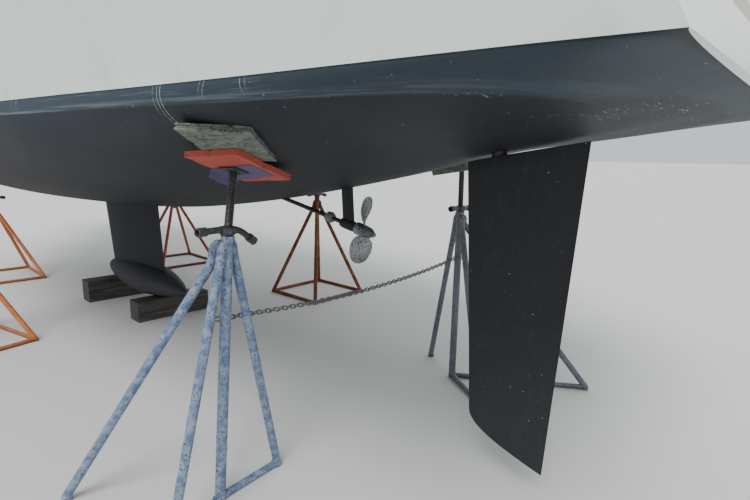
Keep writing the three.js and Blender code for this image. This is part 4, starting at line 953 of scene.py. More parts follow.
def stand_foot(name, base, post_at, high, feet, color):
    """A post on legs and rails. With three feet, the rails join two of them to the post at the ground."""
    look = STAND_PAINT[color]
    three_feet = len(feet) == 3
    meet = high - (0.07 if three_feet else 0.09)
    foot_at, top = Vector((at(base[0]), base[1], 0)), Vector((at(post_at[0]), post_at[1], high))

    def post(z):
        return foot_at + (top - foot_at) * (z / high)

    ends = [Vector((at(x), y, RAIL_TUBE)) for x, y in feet]
    rails = [(end, post(RAIL_TUBE)) for end in ends[:2]] if three_feet else [*zip(ends, ends[1:] + ends[:1])]
    stand = Piece(f"stand_{name}_skin", shift=0)
    for i, end in enumerate(ends):
        out = end - post(meet)
        out = Vector((out.x, out.y, 0)).normalized()
        # A leg comes off the post level and bends down, more so where the photo shows it
        reach = 0.055 if three_feet and i == 2 else 0.015
        start = post(meet + 0.025) + out * (POST - 0.006)
        knee = post(meet) + out * (POST + reach) - UP * (0.02 + reach)
        bend = [start, start + out * reach * 0.7 - UP * 0.008, knee, knee + (end - knee) * 0.12]
        leg = path_through(bend, 5)
        leg += [knee + (end + UP * 0.006 - knee) * t for t in (0.3, 0.6, 0.9, 1.0)]
        stand.add(look, tube(leg, LEG, 20), weld_bead(start + out * 0.006, out, LEG + 0.001),
                  rod(end - UP * RAIL_TUBE, end + UP * 0.012, LEG + 0.003, 24))
    for start, stop in rails:
        along = (stop - start).normalized()
        stand.add(look, rod(start, stop, RAIL_TUBE, 20),
                  weld_bead(start + along * LEG, along, RAIL_TUBE + 0.001),
                  weld_bead(stop - along * (POST if three_feet else LEG), along, RAIL_TUBE + 0.001))
    stand.add(look, rod(post(0.002 if three_feet else meet - 0.16), post(high), POST, 32))
    collar = [(0, POST), (0.002, POST + 0.005), (0.036, POST + 0.005), (0.038, POST)]
    stand.add(look, turned(collar, post(high - 0.039), top - foot_at, 32))
    bolt = post(high - 0.02) + FORWARD * (POST + 0.003)
    stand.add(BLACK_PIPE, turned([(0, 0.011), (0.009, 0.011), (0.01, 0.009)], bolt, FORWARD, 6))
    stand.make(f"stand_{color}", f"stand_{name}")


def screw_thread(start, rise):
    side = rise.orthogonal().normalized()
    other = rise.normalized().cross(side)
    pitch, steps = 0.009, 12
    turns = max(rise.length - 0.05, 0.1) / pitch
    path = []
    for k in range(int(turns * steps)):
        a = 2 * math.pi * k / steps
        out = side * math.cos(a) + other * math.sin(a)
        path.append(start + rise * (0.14 + 0.76 * k / (turns * steps)) + out * (SCREW - 0.0012))
    return tube(path, 0.0018, 5)


def stand_head(name, top, place, screw, boards, sag):
    """A stand's nut, screw, handle, plate and boards."""
    normal, contact = place.col[2].to_3d(), place.translation
    screw_end = Vector((*screw, contact.z))
    screw_end.z -= (screw_end - contact).dot(normal) / normal.z
    screw_end += normal * (BOARD_SUNK - BOARD_STACK - 0.004)
    nut = top + UP * 0.0025
    head = Piece(f"stand_head_{name}_skin")
    head.add(BLACK_PIPE, turned([(0, 0.036), (0.004, 0.041), (0.034, 0.041), (0.038, 0.036)], nut, sides=8),
             rod(nut + UP * 0.012, screw_end, SCREW - 0.001, 28), screw_thread(nut, screw_end - nut))
    # The tee handle is a bent pipe, and its outer end hangs
    grip = Vector((0.02, -0.132, 0))
    handle = path_through([nut + grip * s + UP * (0.026 - (sag * s * s if s > 0 else 0))
                           for s in (-1, -0.6, -0.2, 0.2, 0.6, 1)], 5)
    head.add(BLACK_PIPE, tube(handle, 0.0155, 18))
    for near, far in (handle[:2], handle[:-3:-1]):
        outward = (near - far).normalized()
        head.add(BLACK_PIPE, open_socket(near - outward * 0.014, outward, 0.046, 0.0215, 0.0158))
    thick = BOARD_STACK / len(boards)
    for i, (length, width, degrees, forward, to_port, look) in enumerate(boards):
        board = lying(place, degrees, forward, to_port, BOARD_SUNK - thick * (i + 1))
        layers = 3 if look is PLYWOOD else 1
        ply = thick / layers
        for layer in range(layers):
            odd = layer % 2
            lift = Matrix.Translation((0.002 * odd, 0.0015 * odd, ply * layer + 0.0002))
            head.add(look, plate(splintered(length - 0.003 * odd, width), ply - 0.0004, board @ lift, 0.0015))
    end = place.inverted() @ screw_end
    under = lying(place, PLATE_TURNED, end.x, end.y, BOARD_SUNK - BOARD_STACK - 0.0105)
    head.add(BLACK_PIPE, plate(rounded(0.12, 0.1, 0.008, 4), 0.0065, under))
    for dx in (-0.045, 0.045):
        bolt = under @ Vector((dx, 0, 0))
        head.add(BLACK_PIPE, turned([(0, 0.007), (0.004, 0.007), (0.005, 0.005)], bolt, -normal, 6))
    return head.make("plywood", f"stand_head_{name}")


for name, base, post_at, meets_hull, screw, feet, color in STANDS:
    place = head_frame(*meets_hull)
    high = place.translation.z - HEAD_HEIGHT
    top = Vector((*post_at, high))
    stand_foot(name, base, post_at, high, feet, color)
    if name == "aft_port":
        folded_round = stand_head(name, top, place, screw, TWO_BOARDS, 0.06)
        red_board = lying(place, *RED_BOARD_LIES, BOARD_SUNK - BOARD_STACK)
    else:
        stand_head(name, top, place, screw, ONE_BOARD, 0.014)


# A purple sheet hangs out between the red board and the screw's plate
def cloth(rows, thick):
    """A thin sheet over rows of points."""
    rows = np.array(rows)
    normals = np.cross(np.gradient(rows, axis=0), np.gradient(rows, axis=1))
    normals /= np.linalg.norm(normals, axis=2, keepdims=True)
    deep, wide = rows.shape[:2]
    count = deep * wide
    faces = [(i, i + 1, i + wide + 1, i + wide) for layer in (0, count) for r in range(deep - 1)
             for i in range(layer + r * wide, layer + r * wide + wide - 1)]
    rim = [*range(wide), *range(2 * wide - 1, count, wide)]
    rim += [*range(count - 2, count - wide - 1, -1), *range(count - 2 * wide, 0, -wide)]
    faces += [(a, b, b + count, a + count) for a, b in zip(rim, rim[1:] + rim[:1])]
    return [*rows.reshape(-1, 3), *(rows + normals * thick).reshape(-1, 3)], faces


BOARD_EDGE = 0.1415
rows = []
for v in np.linspace(0.19, -0.105, 40):
    past = max(v - BOARD_EDGE, 0)
    row = []
    for u in np.linspace(-0.035, 0.19, 34):
        ruck = 0.0007 * (1 + math.sin(u * 60 + v * 25)) * (1 + 14 * past)
        skew = 0.22 * (v - 0.14) + 0.004 * math.sin(v * 40)
        hang = -0.0014 - ruck - past * (0.88 + 0.8 * (u - 0.1))
        row.append(red_board @ Vector((u + skew, v - past * 0.45, hang)))
    rows.append(row)
purple = Piece("purple_sheet").add(PURPLE, cloth(rows, 0.0007)).make(None)


# Shapes for the work on deck
def line_at(x):
    sheers = [row[4] for row in LINES]
    return [float(np.interp(x, sheers, [row[k] for row in LINES])) for k in range(10)]


def deck_spot(x, y=0.0):
    """A point on the deck. It keeps its height on the other side of the yacht too."""
    return Vector((x, y, deck_height(line_at(x), y) + DECK_THICK))


def edge_spot(x, side, set_in):
    """A point on the deck, set in from its edge."""
    return deck_spot(x, side * (line_at(x)[5] - set_in))


def roof_row(x):
    return [float(np.interp(x, [row[0] for row in ROOF], [row[k] for row in ROOF])) for k in range(4)]


def roof_top(x, y=0.0):
    _, _, top, z = roof_row(x)
    across = [0, top / 2, top - 0.05, top + 0.02]
    return float(np.interp(abs(y), across, [z + ROOF_CROWN, z + ROOF_CROWN * 0.75, z, z - 0.06]))


def roof_side(x, z):
    """The coachroof's half width at a height."""
    _, foot, top, high = roof_row(x)
    return foot + (top + 0.02 - foot) * (z - ROOF_FOOT) / (high - 0.06 - ROOF_FOOT)


def slats(piece, x0, x1, y0, y1, top, thick=0.008, wide=0.048):
    """Teak boards side by side with caulked gaps, on a dark bed."""
    count = max(1, round(abs(y1 - y0) / wide))
    step = abs(y1 - y0) / count
    piece.add(BLACK_RUBBER, block((x0, y0, top - thick), (x1, y1, top - 0.0025), 0.001, segments=1))
    for k in range(count):
        low = min(y0, y1) + k * step
        near, far = (x0, low + 0.002, top - 0.004), (x1, low + step - 0.002, top)
        piece.add(TEAK, block(near, far, 0.001, segments=1))


# Deck
DECK_LINES = smooth_rows(LINES, 6)
deck_rows = []
for row in DECK_LINES:
    edge = max(row[5] - DECK_EDGE, 0.015)
    ys = np.concatenate([[edge], edge * np.cos(np.linspace(0.12, math.pi - 0.12, 25)), [-edge]])
    upper = [(row[4], y, deck_height(row, y) + DECK_THICK - (0.006 if abs(y) == edge else 0)) for y in ys]
    deck_rows.append(upper + [(row[4], y, deck_height(row, y) + 0.0006) for y in ys[::-1]])
deck = Piece("deck_skin").add(MOULDED, skin(deck_rows)).object()
carve(deck, MOULDED, COCKPIT_HOLE, *SCOOP_HOLES, DOOR_HOLE)
carve(deck, LINER, DECK_HOLE, FORE_HATCH_HOLE, LOCKER_HATCH_HOLE)
settle(deck, "yacht", "deck", "deck", crease=30)

HATCHES = {
    # middle, half width, half of the hole, top of the rim, how deep the rim goes
    "fore_hatch": (8.3, 0.27, 0.22, 3.5613, 0.09),
    "anchor_locker_lid": (9.56, 0.19, 0.14, 3.5936, 0.08),
    "saloon_hatch": (4.3, 0.28, 0.23, 3.7976, 0.08),
}
rims = Piece("hatch_rims")
for middle, half, hole, top, deep in HATCHES.values():
    outer, inner = rounded(2 * half, 2 * half, 0.05), rounded(2 * hole - 0.004, 2 * hole - 0.004, 0.03)
    rims.add(MOULDED, framed(outer, inner, top - deep, top, 0.006, Matrix.Translation((middle, 0, 0))))
rims.make("deck")

# Toe rail of alloy strip along the deck's edge, from the transom to the stem
TOE_SECTION = ((0, 0), (0, 0.034), (-0.004, 0.039), (-0.01, 0.034), (-0.007, 0.006), (-0.03, 0.003),
               (-0.03, 0))
toe_rail = Piece("toe_rail")
for side in (1, -1):
    rings = []
    for row in DECK_LINES[3:-4]:
        y = row[5] - DECK_EDGE - 0.004
        z = deck_height(row, y) + DECK_THICK - 0.006
        rings.append([(row[4], side * (y + dy), z + dz) for dy, dz in TOE_SECTION])
    toe_rail.add(SPAR, skin(rings))
    for row in DECK_LINES[5:-6:2]:
        y = row[5] - DECK_EDGE - 0.023
        toe_rail.add(STAINLESS, *bolts([(row[4], side * y, deck_height(row, y) + DECK_THICK - 0.003)], 0.005))
toe_rail.make("spar")


# Coachroof
def roof_outline(x, inner=0.0, base=ROOF_FOOT):
    """The coachroof's section with its shoulders rounded, from port to starboard."""
    _, foot, top, z = roof_row(x)
    foot, top, z = foot - inner, top - inner, z - inner
    corner = np.array([(foot, base), (top + 0.02, z - 0.06), (top - 0.05, z),
                       (top / 2, z + ROOF_CROWN * 0.75), (0, z + ROOF_CROWN)])
    points = [corner[0]]
    for a, b, c in zip(corner, corner[1:], corner[2:]):
        near, far = (bezier(min(0.035 / math.dist(end, b), 0.45), b, end) for end in (a, c))
        points += [bezier(t, near, b, far) for t in np.linspace(0, 1, 8)]
    points.append(corner[-1])
    return [(x, y, h) for y, h in points] + [(x, -y, h) for y, h in points[-2::-1]]


def roof_block(inner, start):
    rows = sorted({start, *np.linspace(start, 8.15, 50).tolist(), *[row[0] for row in ROOF[1:]]})
    if inner:
        return skin([roof_outline(x, inner, ROOF_FOOT - 0.02) for x in rows])
    rings = [roof_outline(x) for x in rows]
    ends = [[(start + back, y * (1 - draw_in), z - (draw_in * 0.6 if z > 3 else 0)) for _, y, z in rings[0]]
            for draw_in, back in ((0.02, 0.0), (0.006, 0.006), (0.0, 0.02))]
    return skin(ends + rings[1:])


WINDOWS = {
    # aft end, fore end, low edge, high edge
    "aft": (2.85, 4.25, 3.42, 3.59),
    "forward": (4.45, 5.75, 3.42, 3.57),
}


def on_roof_side(outline, side, out):
    return [(x, side * (roof_side(x, z) + out), z) for x, z in outline]


def window_outline(window, grown=0.0):
    aft, fore, low, high = window
    middle = (aft + fore) / 2, (low + high) / 2
    return rounded(fore - aft + 2 * grown, high - low + 2 * grown, 0.06 + grown, 8, middle)


def window_rings(window, side, rims):
    """The window's outline on the roof's side, grown by a distance and standing out by another."""
    outline = window_outline(window)
    return [on_roof_side(inset(outline, -grow) if grow else outline, side, out) for grow, out in rims]


saddle = []
for x in np.linspace(2.0, 8.6, 34):
    port = [(1.3, 2.0)]
    port += [(y, deck_spot(x, min(y, 1.15)).z - 0.014) for y in (1.3, 1.15, 1.0, 0.85, 0.7, 0.5, 0.25, 0)]
    saddle.append([(x, y, z) for y, z in port] + [(x, -y, z) for y, z in port[-2::-1]])
roof = Piece("coachroof_skin").add(MOULDED, roof_block(0.0, 2.32)).object()
carve(roof, MOULDED, skin(saddle))
carve(roof, LINER, roof_block(0.04, 2.36))
carve(roof, MOULDED, DOOR_HOLE)
carve(roof, LINER, SALOON_HATCH_HOLE)
carve(roof, BLACK_RUBBER, *[skin(window_rings(window, side, [(0, -0.2), (0, 0.1)]))
                            for window in WINDOWS.values() for side in (1, -1)])
settle(roof, "yacht", "deck", "coachroof", crease=30)

PANE_RIMS = [(-0.0012, -0.008), (-0.0012, -0.001), (-0.004, 0.0015)]
FRAME_RIMS = [(-0.007, 0.002), (-0.006, 0.006), (0.01, 0.006), (0.014, 0.0005), (0.012, -0.004),
              (-0.006, -0.004)]
for window_name, window in WINDOWS.items():
    for side_name, side in SIDES:
        name = f"window_{window_name}_{side_name}"
        pane = Piece(f"{name}_pane").add(TINTED, skin(window_rings(window, side, PANE_RIMS)))
        pane.make("window", name, crease=30)
        seal = Piece(f"{name}_frame").add(SPAR, skin(window_rings(window, side, FRAME_RIMS), loop=True))
        heads = on_roof_side(window_outline(window, 0.004)[::3], side, 0.0055)
        seal.add(STAINLESS, *bolts(heads, 0.004, (0, side, 0.25))).make("window")

# Mast step, hatch runners, grab rails and vents on the coachroof
MAST_X, MAST_LONG, MAST_WIDE, MAST_TOP = 5.62, 0.21, 0.125, 18.95
RUNNER_TOP = roof_top(2.4) + 0.028
PLINTH_TOP = roof_top(5.43) + 0.03
VENT = [(0, 0.062), (0.008, 0.062), (0.012, 0.05), (0.034, 0.05), (0.036, 0.07), (0.044, 0.072),
        (0.056, 0.055), (0.062, 0.02)]
RAIL_SEAT = [(-0.02, 0.02), (0.008, 0.02), (0.014, 0.013)]
roof_gear = Piece("coachroof_fittings")
step = Matrix.Translation((MAST_X, 0, PLINTH_TOP - 0.06))
roof_gear.add(MOULDED, plate(rounded(0.38, 0.26, 0.04), 0.06, step, 0.006))
corners = [(MAST_X + dx, dy, PLINTH_TOP) for dx in (-0.16, 0.16) for dy in (-0.1, 0.1)]
roof_gear.add(STAINLESS, *bolts(corners, 0.01))
for side in (1, -1):
    y = side * 0.345
    roof_gear.add(SPAR, block((2.31, y - 0.015, 3.7), (3.75, y + 0.015, RUNNER_TOP)))
    y, first, apart, steps = side * 0.845, 3.1, 0.65, 12
    bar = []
    for k in range(3 * steps + 1):
        x = first + apart * k / steps
        bar.append((x, y, roof_top(x, y) + 0.012 + 0.036 * math.sin(math.pi * (k % steps) / steps) ** 0.5))
    roof_gear.add(TEAK, tube(path_through(bar, 2), 0.011))
    for x in (first + apart * k for k in range(4)):
        roof_gear.add(TEAK, turned(RAIL_SEAT, (x, y, roof_top(x, y)), sides=20))
    vent = (6.25, side * 0.42, roof_top(6.25, 0.42) - 0.006)
    roof_gear.add(STAINLESS, turned(VENT, vent, sides=36))
roof_gear.make("deck")


def scaled(profile, size):
    return [(d * size, r * size) for d, r in profile]


def winch(piece, place, size):
    """A two-speed winch: flared base, ribbed drum and self-tailing jaws."""
    profile = [(0, 1), (0.1, 1), (0.16, 0.86), (0.3, 0.66), (0.5, 0.6), (0.9, 0.62), (1.08, 0.78),
               (1.14, 0.95), (1.2, 0.96), (1.24, 0.8), (1.3, 0.8), (1.34, 0.96), (1.42, 0.92), (1.48, 0.5),
               (1.5, 0.2)]
    piece.add(STAINLESS, turned(scaled(profile, size), place, sides=40))
    for a in whole_turn(20):
        rib = Vector(place) + Vector((0.615 * math.cos(a), 0.615 * math.sin(a), 0.5)) * size
        piece.add(STAINLESS, rod(rib, rib + UP * (0.4 * size), 0.02 * size, 6))
    socket = Vector(place) + UP * (1.47 * size)
    piece.add(BLACK_RUBBER, turned(scaled([(0, 0.16), (0.06, 0.14)], size), socket, sides=8))


def cleat(place, length, along):
    """A horned mooring cleat on two feet."""
    along = Vector(along).normalized()
    horn = ((-0.5, 0.05), (-0.35, 0.044), (-0.12, 0.04), (0.12, 0.04), (0.35, 0.044), (0.5, 0.05))
    path = path_through([place + along * (length * s) + UP * h for s, h in horn], 4)
    radii = [0.011 * (1 - 0.5 * abs(2 * k / (len(path) - 1) - 1) ** 2) for k in range(len(path))]
    foot = [(-0.01, 0.02), (0.004, 0.02), (0.012, 0.011), (0.04, 0.01)]
    feet = [turned(foot, place + along * (length * s), sides=18) for s in (-0.14, 0.14)]
    return [tube(path, radii, 14), *feet]


PULPIT_FEET, PUSHPIT_CORNER = ((9.3, 0.08), (10.05, 0.075)), (-0.33, 0.11)
STANCHIONS = [(x, 0.075) for x in (7.9, 6.4, 4.9, 3.4, 1.9, 0.5)]
RAIL_FOOT = [(-0.02, 0.034), (0.004, 0.034), (0.007, 0.03), (0.03, 0.018), (0.036, 0.0165)]
deck_gear = Piece("deck_fittings")
for side in (1, -1):
    winch(deck_gear, (1.55, side * 1.045, 3.398), 0.062)
    winch(deck_gear, (2.72, side * 0.63, roof_top(2.72, 0.63) - 0.002), 0.048)
    for k in (-1, 0, 1):
        clutch = (3.0, side * 0.63 + k * 0.034, roof_top(3.0, 0.63) - 0.004)
        deck_gear.add(BLACK_RUBBER, block((-0.07, -0.015, 0), (0.07, 0.015, 0.046), 0.008, clutch))
        deck_gear.add(MOULDED, block((-0.062, -0.011, 0.045), (0.035, 0.011, 0.056), 0.005, clutch))
    for x, turn in ((9.0, 0.35), (5.9, 0.08), (0.15, 0.0)):
        deck_gear.add(STAINLESS, *cleat(edge_spot(x, side, 0.1), 0.24, (1, -side * turn, 0)))
    y = side * 1.36
    track = [deck_spot(x, y) + UP * 0.004 for x in np.linspace(3.2, 4.9, 12)]
    deck_gear.add(SPAR, tube(track, 0.014, 10, flat=0.6))
    heads = [deck_spot(x, y) + UP * 0.0115 for x in np.linspace(3.25, 4.85, 17)]
    deck_gear.add(STAINLESS, *bolts(heads, 0.0045))
    deck_gear.add(BLACK_RUBBER, block((-0.05, -0.022, 0), (0.05, 0.022, 0.03), 0.006, deck_spot(3.9, y)))
    for x, set_in in (*PULPIT_FEET, *STANCHIONS, PUSHPIT_CORNER):
        deck_gear.add(STAINLESS, turned(RAIL_FOOT, edge_spot(x, side, set_in), sides=26))
filler_cap = [(-0.01, 0.04), (0.003, 0.04), (0.005, 0.03)]
deck_gear.add(STAINLESS, turned(filler_cap, deck_spot(1.0, 1.52), sides=30))
deck_gear.make("stainless")

# Cockpit: the moulding is the CAD's own, with teak laid on it
TEAK_ON_SOLE, TEAK_ON_SEAT = 2.628, 3.028
panels = [
    # aft, forward, the two sides, top
    (1.09, 2.24, -0.385, 0.385, TEAK_ON_SOLE),
    (0.08, 1.07, -0.925, 0.925, TEAK_ON_SOLE),
    (-0.34, 0.05, -0.31, 0.31, TEAK_ON_SOLE),
    (-0.7, -0.37, -0.73, 0.73, 2.468),
    (-1.03, -0.74, -0.73, 0.73, 2.308),
]
for side in (1, -1):
    panels += [(-0.33, 0.045, side * 0.345, side * 0.925, TEAK_ON_SEAT + 0.06),
               (1.1, 1.215, side * 0.415, side * 0.925, TEAK_ON_SEAT),
               (2.14, 2.25, side * 0.415, side * 0.925, TEAK_ON_SEAT)]
teak = Piece("cockpit_teak")
for panel in panels:
    slats(teak, *panel)
teak.make("teak")
for side_name, side in SIDES:
    name = f"locker_lid_{side_name}"
    lid = Piece(f"{name}_slatted", name)
    lid.add(MOULDED, block((1.234, side * 0.444, 2.9953), (2.126, side * 0.8797, 3.0145), 0.003))
    slats(lid, 1.25, 2.11, side * 0.458, side * 0.866, 3.02, 0.0075, 0.051)
    pull = rounded(0.07, 0.045, 0.012), rounded(0.05, 0.026, 0.008)
    lid.add(STAINLESS, framed(*pull, 0, 0.0012, 0.0004, Matrix.Translation((1.68, side * 0.49, 3.0197))))
    lid.make("deck", name)

# Lifting hatches: a pane in an alloy frame, with hinge straps and two handles
LID = 0.032
for name, hinge, pane in (("fore_hatch", 1, TINTED), ("saloon_hatch", 1, TINTED),
                          ("anchor_locker_lid", -1, MOULDED)):
    middle, half, _, top, _ = HATCHES[name]
    low = top + 0.0003
    place = Matrix.Translation((middle, 0, low))
    outer, inner, pane_edge = (rounded(2 * half - less, 2 * half - less, corner)
                               for less, corner in ((0, 0.05), (0.07, 0.03), (0.068, 0.03)))
    lid = Piece(f"{name}_lid", name)
    lid.add(SPAR if pane is TINTED else MOULDED, framed(outer, inner, 0, LID, 0.005, place))
    lid.add(pane, plate(pane_edge, LID - 0.012, place @ Matrix.Translation((0, 0, 0.004))))
    for y in (-half * 0.55, half * 0.55):
        strap = (middle + hinge * half, y, low + LID)
        lid.add(STAINLESS, block((0, -0.02, -0.008), (-hinge * 0.06, 0.02, -0.0005), 0.003, strap))
        if pane is TINTED:
            grip = (middle - hinge * (half - 0.09), y, low + LID - 0.009)
            lid.add(BLACK_RUBBER, turned([(0, 0.018), (0.004, 0.018), (0.006, 0.014)], grip, sides=24),
                    block((-0.03, -0.007, 0.004), (0.014, 0.007, 0.0085), 0.003, grip))
    lid.make("window" if pane is TINTED else "deck", name)


def athwart(x, z, half, radius, sides):
    """A rod across the yacht."""
    return rod((x, -half, z), (x, half, z), radius, sides)


slide = Piece("companionway_hatch_lid", "companionway_hatch")
place = Matrix.Translation((2.705, 0, RUNNER_TOP + 0.0003))
slide.add(SPAR, framed(rounded(0.75, 0.74, 0.03), rounded(0.65, 0.64, 0.02), 0, 0.035, 0.005, place))
slide.add(TINTED, plate(rounded(0.652, 0.642, 0.02), 0.02, place @ Matrix.Translation((0, 0, 0.006))))
slide.add(STAINLESS, athwart(2.375, RUNNER_TOP + 0.0283, 0.11, 0.0065, 14))
slide.make("window", "companionway_hatch")

# Companionway doors: frame, two slatted panels, strap hinges and a latch
DOOR_LOW, DOOR_HIGH, DOOR_AFT, DOOR_FORE = 3.026, RUNNER_TOP - 0.006, 2.33, 2.35
RAIL_LOW, RAIL_HIGH = 3.37, 3.43
bars = [
    # near, far, low, high, set in from the door's two faces
    (0.003, 0.06, DOOR_LOW, DOOR_HIGH, 0, 0),
    (0.268, 0.325, DOOR_LOW, DOOR_HIGH, 0, 0),
    (0.058, 0.27, DOOR_LOW, DOOR_LOW + 0.075, 0.0005, 0.0005),
    (0.058, 0.27, RAIL_LOW, RAIL_HIGH, 0.0005, 0.0005),
    (0.058, 0.27, DOOR_HIGH - 0.07, DOOR_HIGH, 0.0005, 0.0005),
]
for low, high in ((DOOR_LOW + 0.073, RAIL_LOW + 0.002), (RAIL_HIGH - 0.002, DOOR_HIGH - 0.068)):
    bars.append((0.056, 0.272, low, high, 0.006, 0.006))
    for z in (low + (high - low) * (k + 0.5) / 5 for k in range(5)):
        bars.append((0.062, 0.266, z - 0.012, z + 0.008, 0.002, 0.012))
KNOB = [(0, 0.013), (0.004, 0.013), (0.006, 0.006), (0.014, 0.006), (0.016, 0.015), (0.022, 0.012)]
for side_name, side in SIDES:
    name = f"companionway_door_{side_name}"
    door = Piece(f"{name}_leaf", name)
    for near, far, low, high, aft, fore in bars:
        door.add(TEAK, block((DOOR_AFT + aft, side * near, low), (DOOR_FORE - fore, side * far, high), 0.002))
    for z in (3.325, 3.61):
        pin = Vector((2.3137, side * 0.332, z))
        door.add(STAINLESS, block((2.31, side * 0.29, z), (2.3195, side * 0.332, z + 0.04), 0.0015),
                 block((2.318, side * 0.29, z), (2.332, side * 0.322, z + 0.04), 0.0015),
                 rod(pin - UP * 0.008, pin + UP * 0.048, 0.006, 18))
    if side > 0:
        door.add(STAINLESS, turned(KNOB, (2.3304, 0.03, 3.4), -FORWARD, 20))
    door.make("teak", name)

# Mast
SPREADERS = ((8.9, 1.12), (13.6, 0.86))
BOOM_Z, VANG_Z, BOOM_AFT, PIN_X = 5.05, 3.96, 0.835, 5.445
MAST_SLOT = [(0.004, 0.009), (0.004, -0.009), (-0.007, -0.009), (-0.007, -0.003), (-0.009, -0.003),
             (-0.009, 0.003), (-0.007, 0.003), (-0.007, 0.009)]
SPREADER_BOOT = [(-0.022, 0.01), (-0.016, 0.021), (0.0, 0.024), (0.016, 0.021), (0.022, 0.01)]


def mast_scale(z):
    return float(np.interp(z, [15.45, MAST_TOP], [1, 0.72]))


def mast_ring(z, scale=1.0, out=0.0):
    half_long, half_wide = MAST_LONG / 2 * scale + out, MAST_WIDE / 2 * scale + out
    return [(MAST_X + half_long * math.cos(a), half_wide * math.sin(a), z) for a in whole_turn(48)]


def spreader_tip(z, length, side, past=0.0):
    return Vector((MAST_X - length * 0.36, side * (length + past), z + 0.04))


mast = Piece("mast_skin")
heights = [PLINTH_TOP + 0.0003, *np.linspace(4.2, MAST_TOP - 0.004, 40)]
mast.add(SPAR, skin([mast_ring(z, mast_scale(z)) for z in heights]))
collar = ((3.7632, 0.012), (3.79, 0.012), (3.8, 0.004))
mast.add(BLACK_RUBBER, skin([mast_ring(z, 1.0, out) for z, out in collar]))
cap = ((-0.075, 0.006), (-0.05, 0.008), (-0.012, 0.008), (-0.006, 0.002))
mast.add(SPAR, skin([mast_ring(MAST_TOP + dz, 0.72, out) for dz, out in cap]))
mast.add(DARK_STEEL, skin([[(MAST_X - MAST_LONG / 2 * mast_scale(z) + dx, dy, z) for dx, dy in MAST_SLOT]
                           for z in (5.32, 10.0, 15.45, 18.7)]))
mast.add(SPAR, block((-0.24, -0.03, -0.06), (0.19, 0.03, 0), 0.006, (MAST_X, 0, MAST_TOP)))
mast.add(BLACK_RUBBER, *(athwart(MAST_X + dx, MAST_TOP - 0.032, 0.0295, 0.022, 28) for dx in (-0.215, 0.165)))
for z, length in SPREADERS:
    for side in (1, -1):
        root, tip = Vector((MAST_X, 0, z)), spreader_tip(z, length, side)
        rings = []
        for t in np.linspace(0.02, 1, 10):
            middle, half_long, half_deep = root + (tip - root) * t, 0.045 - 0.015 * t, 0.012 - 0.003 * t
            rings.append([middle + Vector((half_long * math.cos(a), 0, half_deep * math.sin(a)))
                          for a in whole_turn(24)])
        mast.add(SPAR, skin(rings))
        mast.add(BLACK_RUBBER, turned(SPREADER_BOOT, tip, (0.1, side * 0.1, 1), 20))
        root += (tip - root) * (0.055 / length)
        mast.add(SPAR, block((-0.055, -0.02, -0.03), (0.055, 0.02, 0.03), 0.012, root))
for z in (BOOM_Z, VANG_Z):
    pin = Vector((PIN_X, 0, z))
    for low, high in ((0.022, 0.036), (-0.036, -0.022)):
        mast.add(STAINLESS, block((-0.018, -0.018, low), (0.09, 0.018, high), 0.003, pin))
    mast.add(STAINLESS, rod(pin - UP * 0.0365, pin + UP * 0.0365, 0.007, 20),
             turned([(0, 0.011), (0.006, 0.011), (0.008, 0.006)], pin + UP * 0.0355, sides=20),
             block((0.055, -0.04, -0.07), (0.076, 0.04, 0.07), 0.006, pin))
DECK_LAMP_Z = 12.1
lamp = [(0, 0.03), (0.01, 0.034), (0.05, 0.034), (0.06, 0.02)]
mast.add(TINTED, turned(lamp, (5.74, 0, DECK_LAMP_Z), sides=24))
mast.add(SPAR, block((5.7, -0.025, DECK_LAMP_Z - 0.02), (5.745, 0.025, DECK_LAMP_Z + 0.001), 0.005))
for side in (1, -1):
    winch(mast, (5.58, side * 0.092, 4.45), 0.034)
    mast.add(SPAR, block((5.545, side * 0.03, 4.432), (5.615, side * 0.128, 4.452), 0.005))
    horn = Vector((MAST_X, side * 0.088, 4.72))
    mast.add(SPAR, rod(horn - UP * 0.07, horn + UP * 0.07, 0.007, 14),
             rod((MAST_X, side * 0.054, 4.72), (MAST_X, side * 0.09, 4.72), 0.009, 14))
mast.make("spar", "mast", crease=35)


# Boom and its vang
def boom_skin(*rings):
    """Boom sections: places forward of the rudder, and how far each is drawn in."""
    return skin([[(x, y, BOOM_Z + z) for y, z in rounded(0.1 - 2 * less, 0.18 - 2 * less, 0.046 - less, 9)]
                 for x, less in rings])


def pin_tongue(z, reach):
    """An eye round a pin, on a shank."""
    eye = framed(circle(0.015), circle(0.008), 0.0, 0.04, 0.0015, Matrix.Translation((PIN_X, 0, z - 0.02)))
    return eye, block((-reach, -0.0145, -0.019), (-0.0102, 0.0145, 0.019), 0.002, (PIN_X, 0, z))


boom = Piece("boom_skin", "boom_and_vang")
boom.add(SPAR, boom_skin((BOOM_AFT, 0.006), (BOOM_AFT + 0.006, 0), (3.0, 0), (5.379, 0), (5.385, 0.006)))
boom.add(BLACK_RUBBER, boom_skin((5.32, 0), (5.322, -0.002), (5.384, -0.002)),
         boom_skin((BOOM_AFT + 0.001, -0.002), (BOOM_AFT + 0.07, -0.002), (BOOM_AFT + 0.072, 0)))
boom.add(STAINLESS, *pin_tongue(BOOM_Z, 0.07))
BOOM_SLOT = ((0.012, 0), (0.012, 0.006), (0.004, 0.006), (-0.004, 0.006), (-0.012, 0.006), (-0.012, 0))
boom.add(DARK_STEEL, skin([[(x, y, BOOM_Z + 0.088 + z) for y, z in BOOM_SLOT] for x in (1.0, 5.3)]))
for x in (1.0, 1.7, 2.4):
    bail = ((0, 0.088), (0.014, 0.1), (0, 0.116), (-0.014, 0.1))
    boom.add(STAINLESS, tube([(x, y, BOOM_Z - down) for y, down in bail], 0.004, 10, loop=True))
boom.make("spar", "boom")

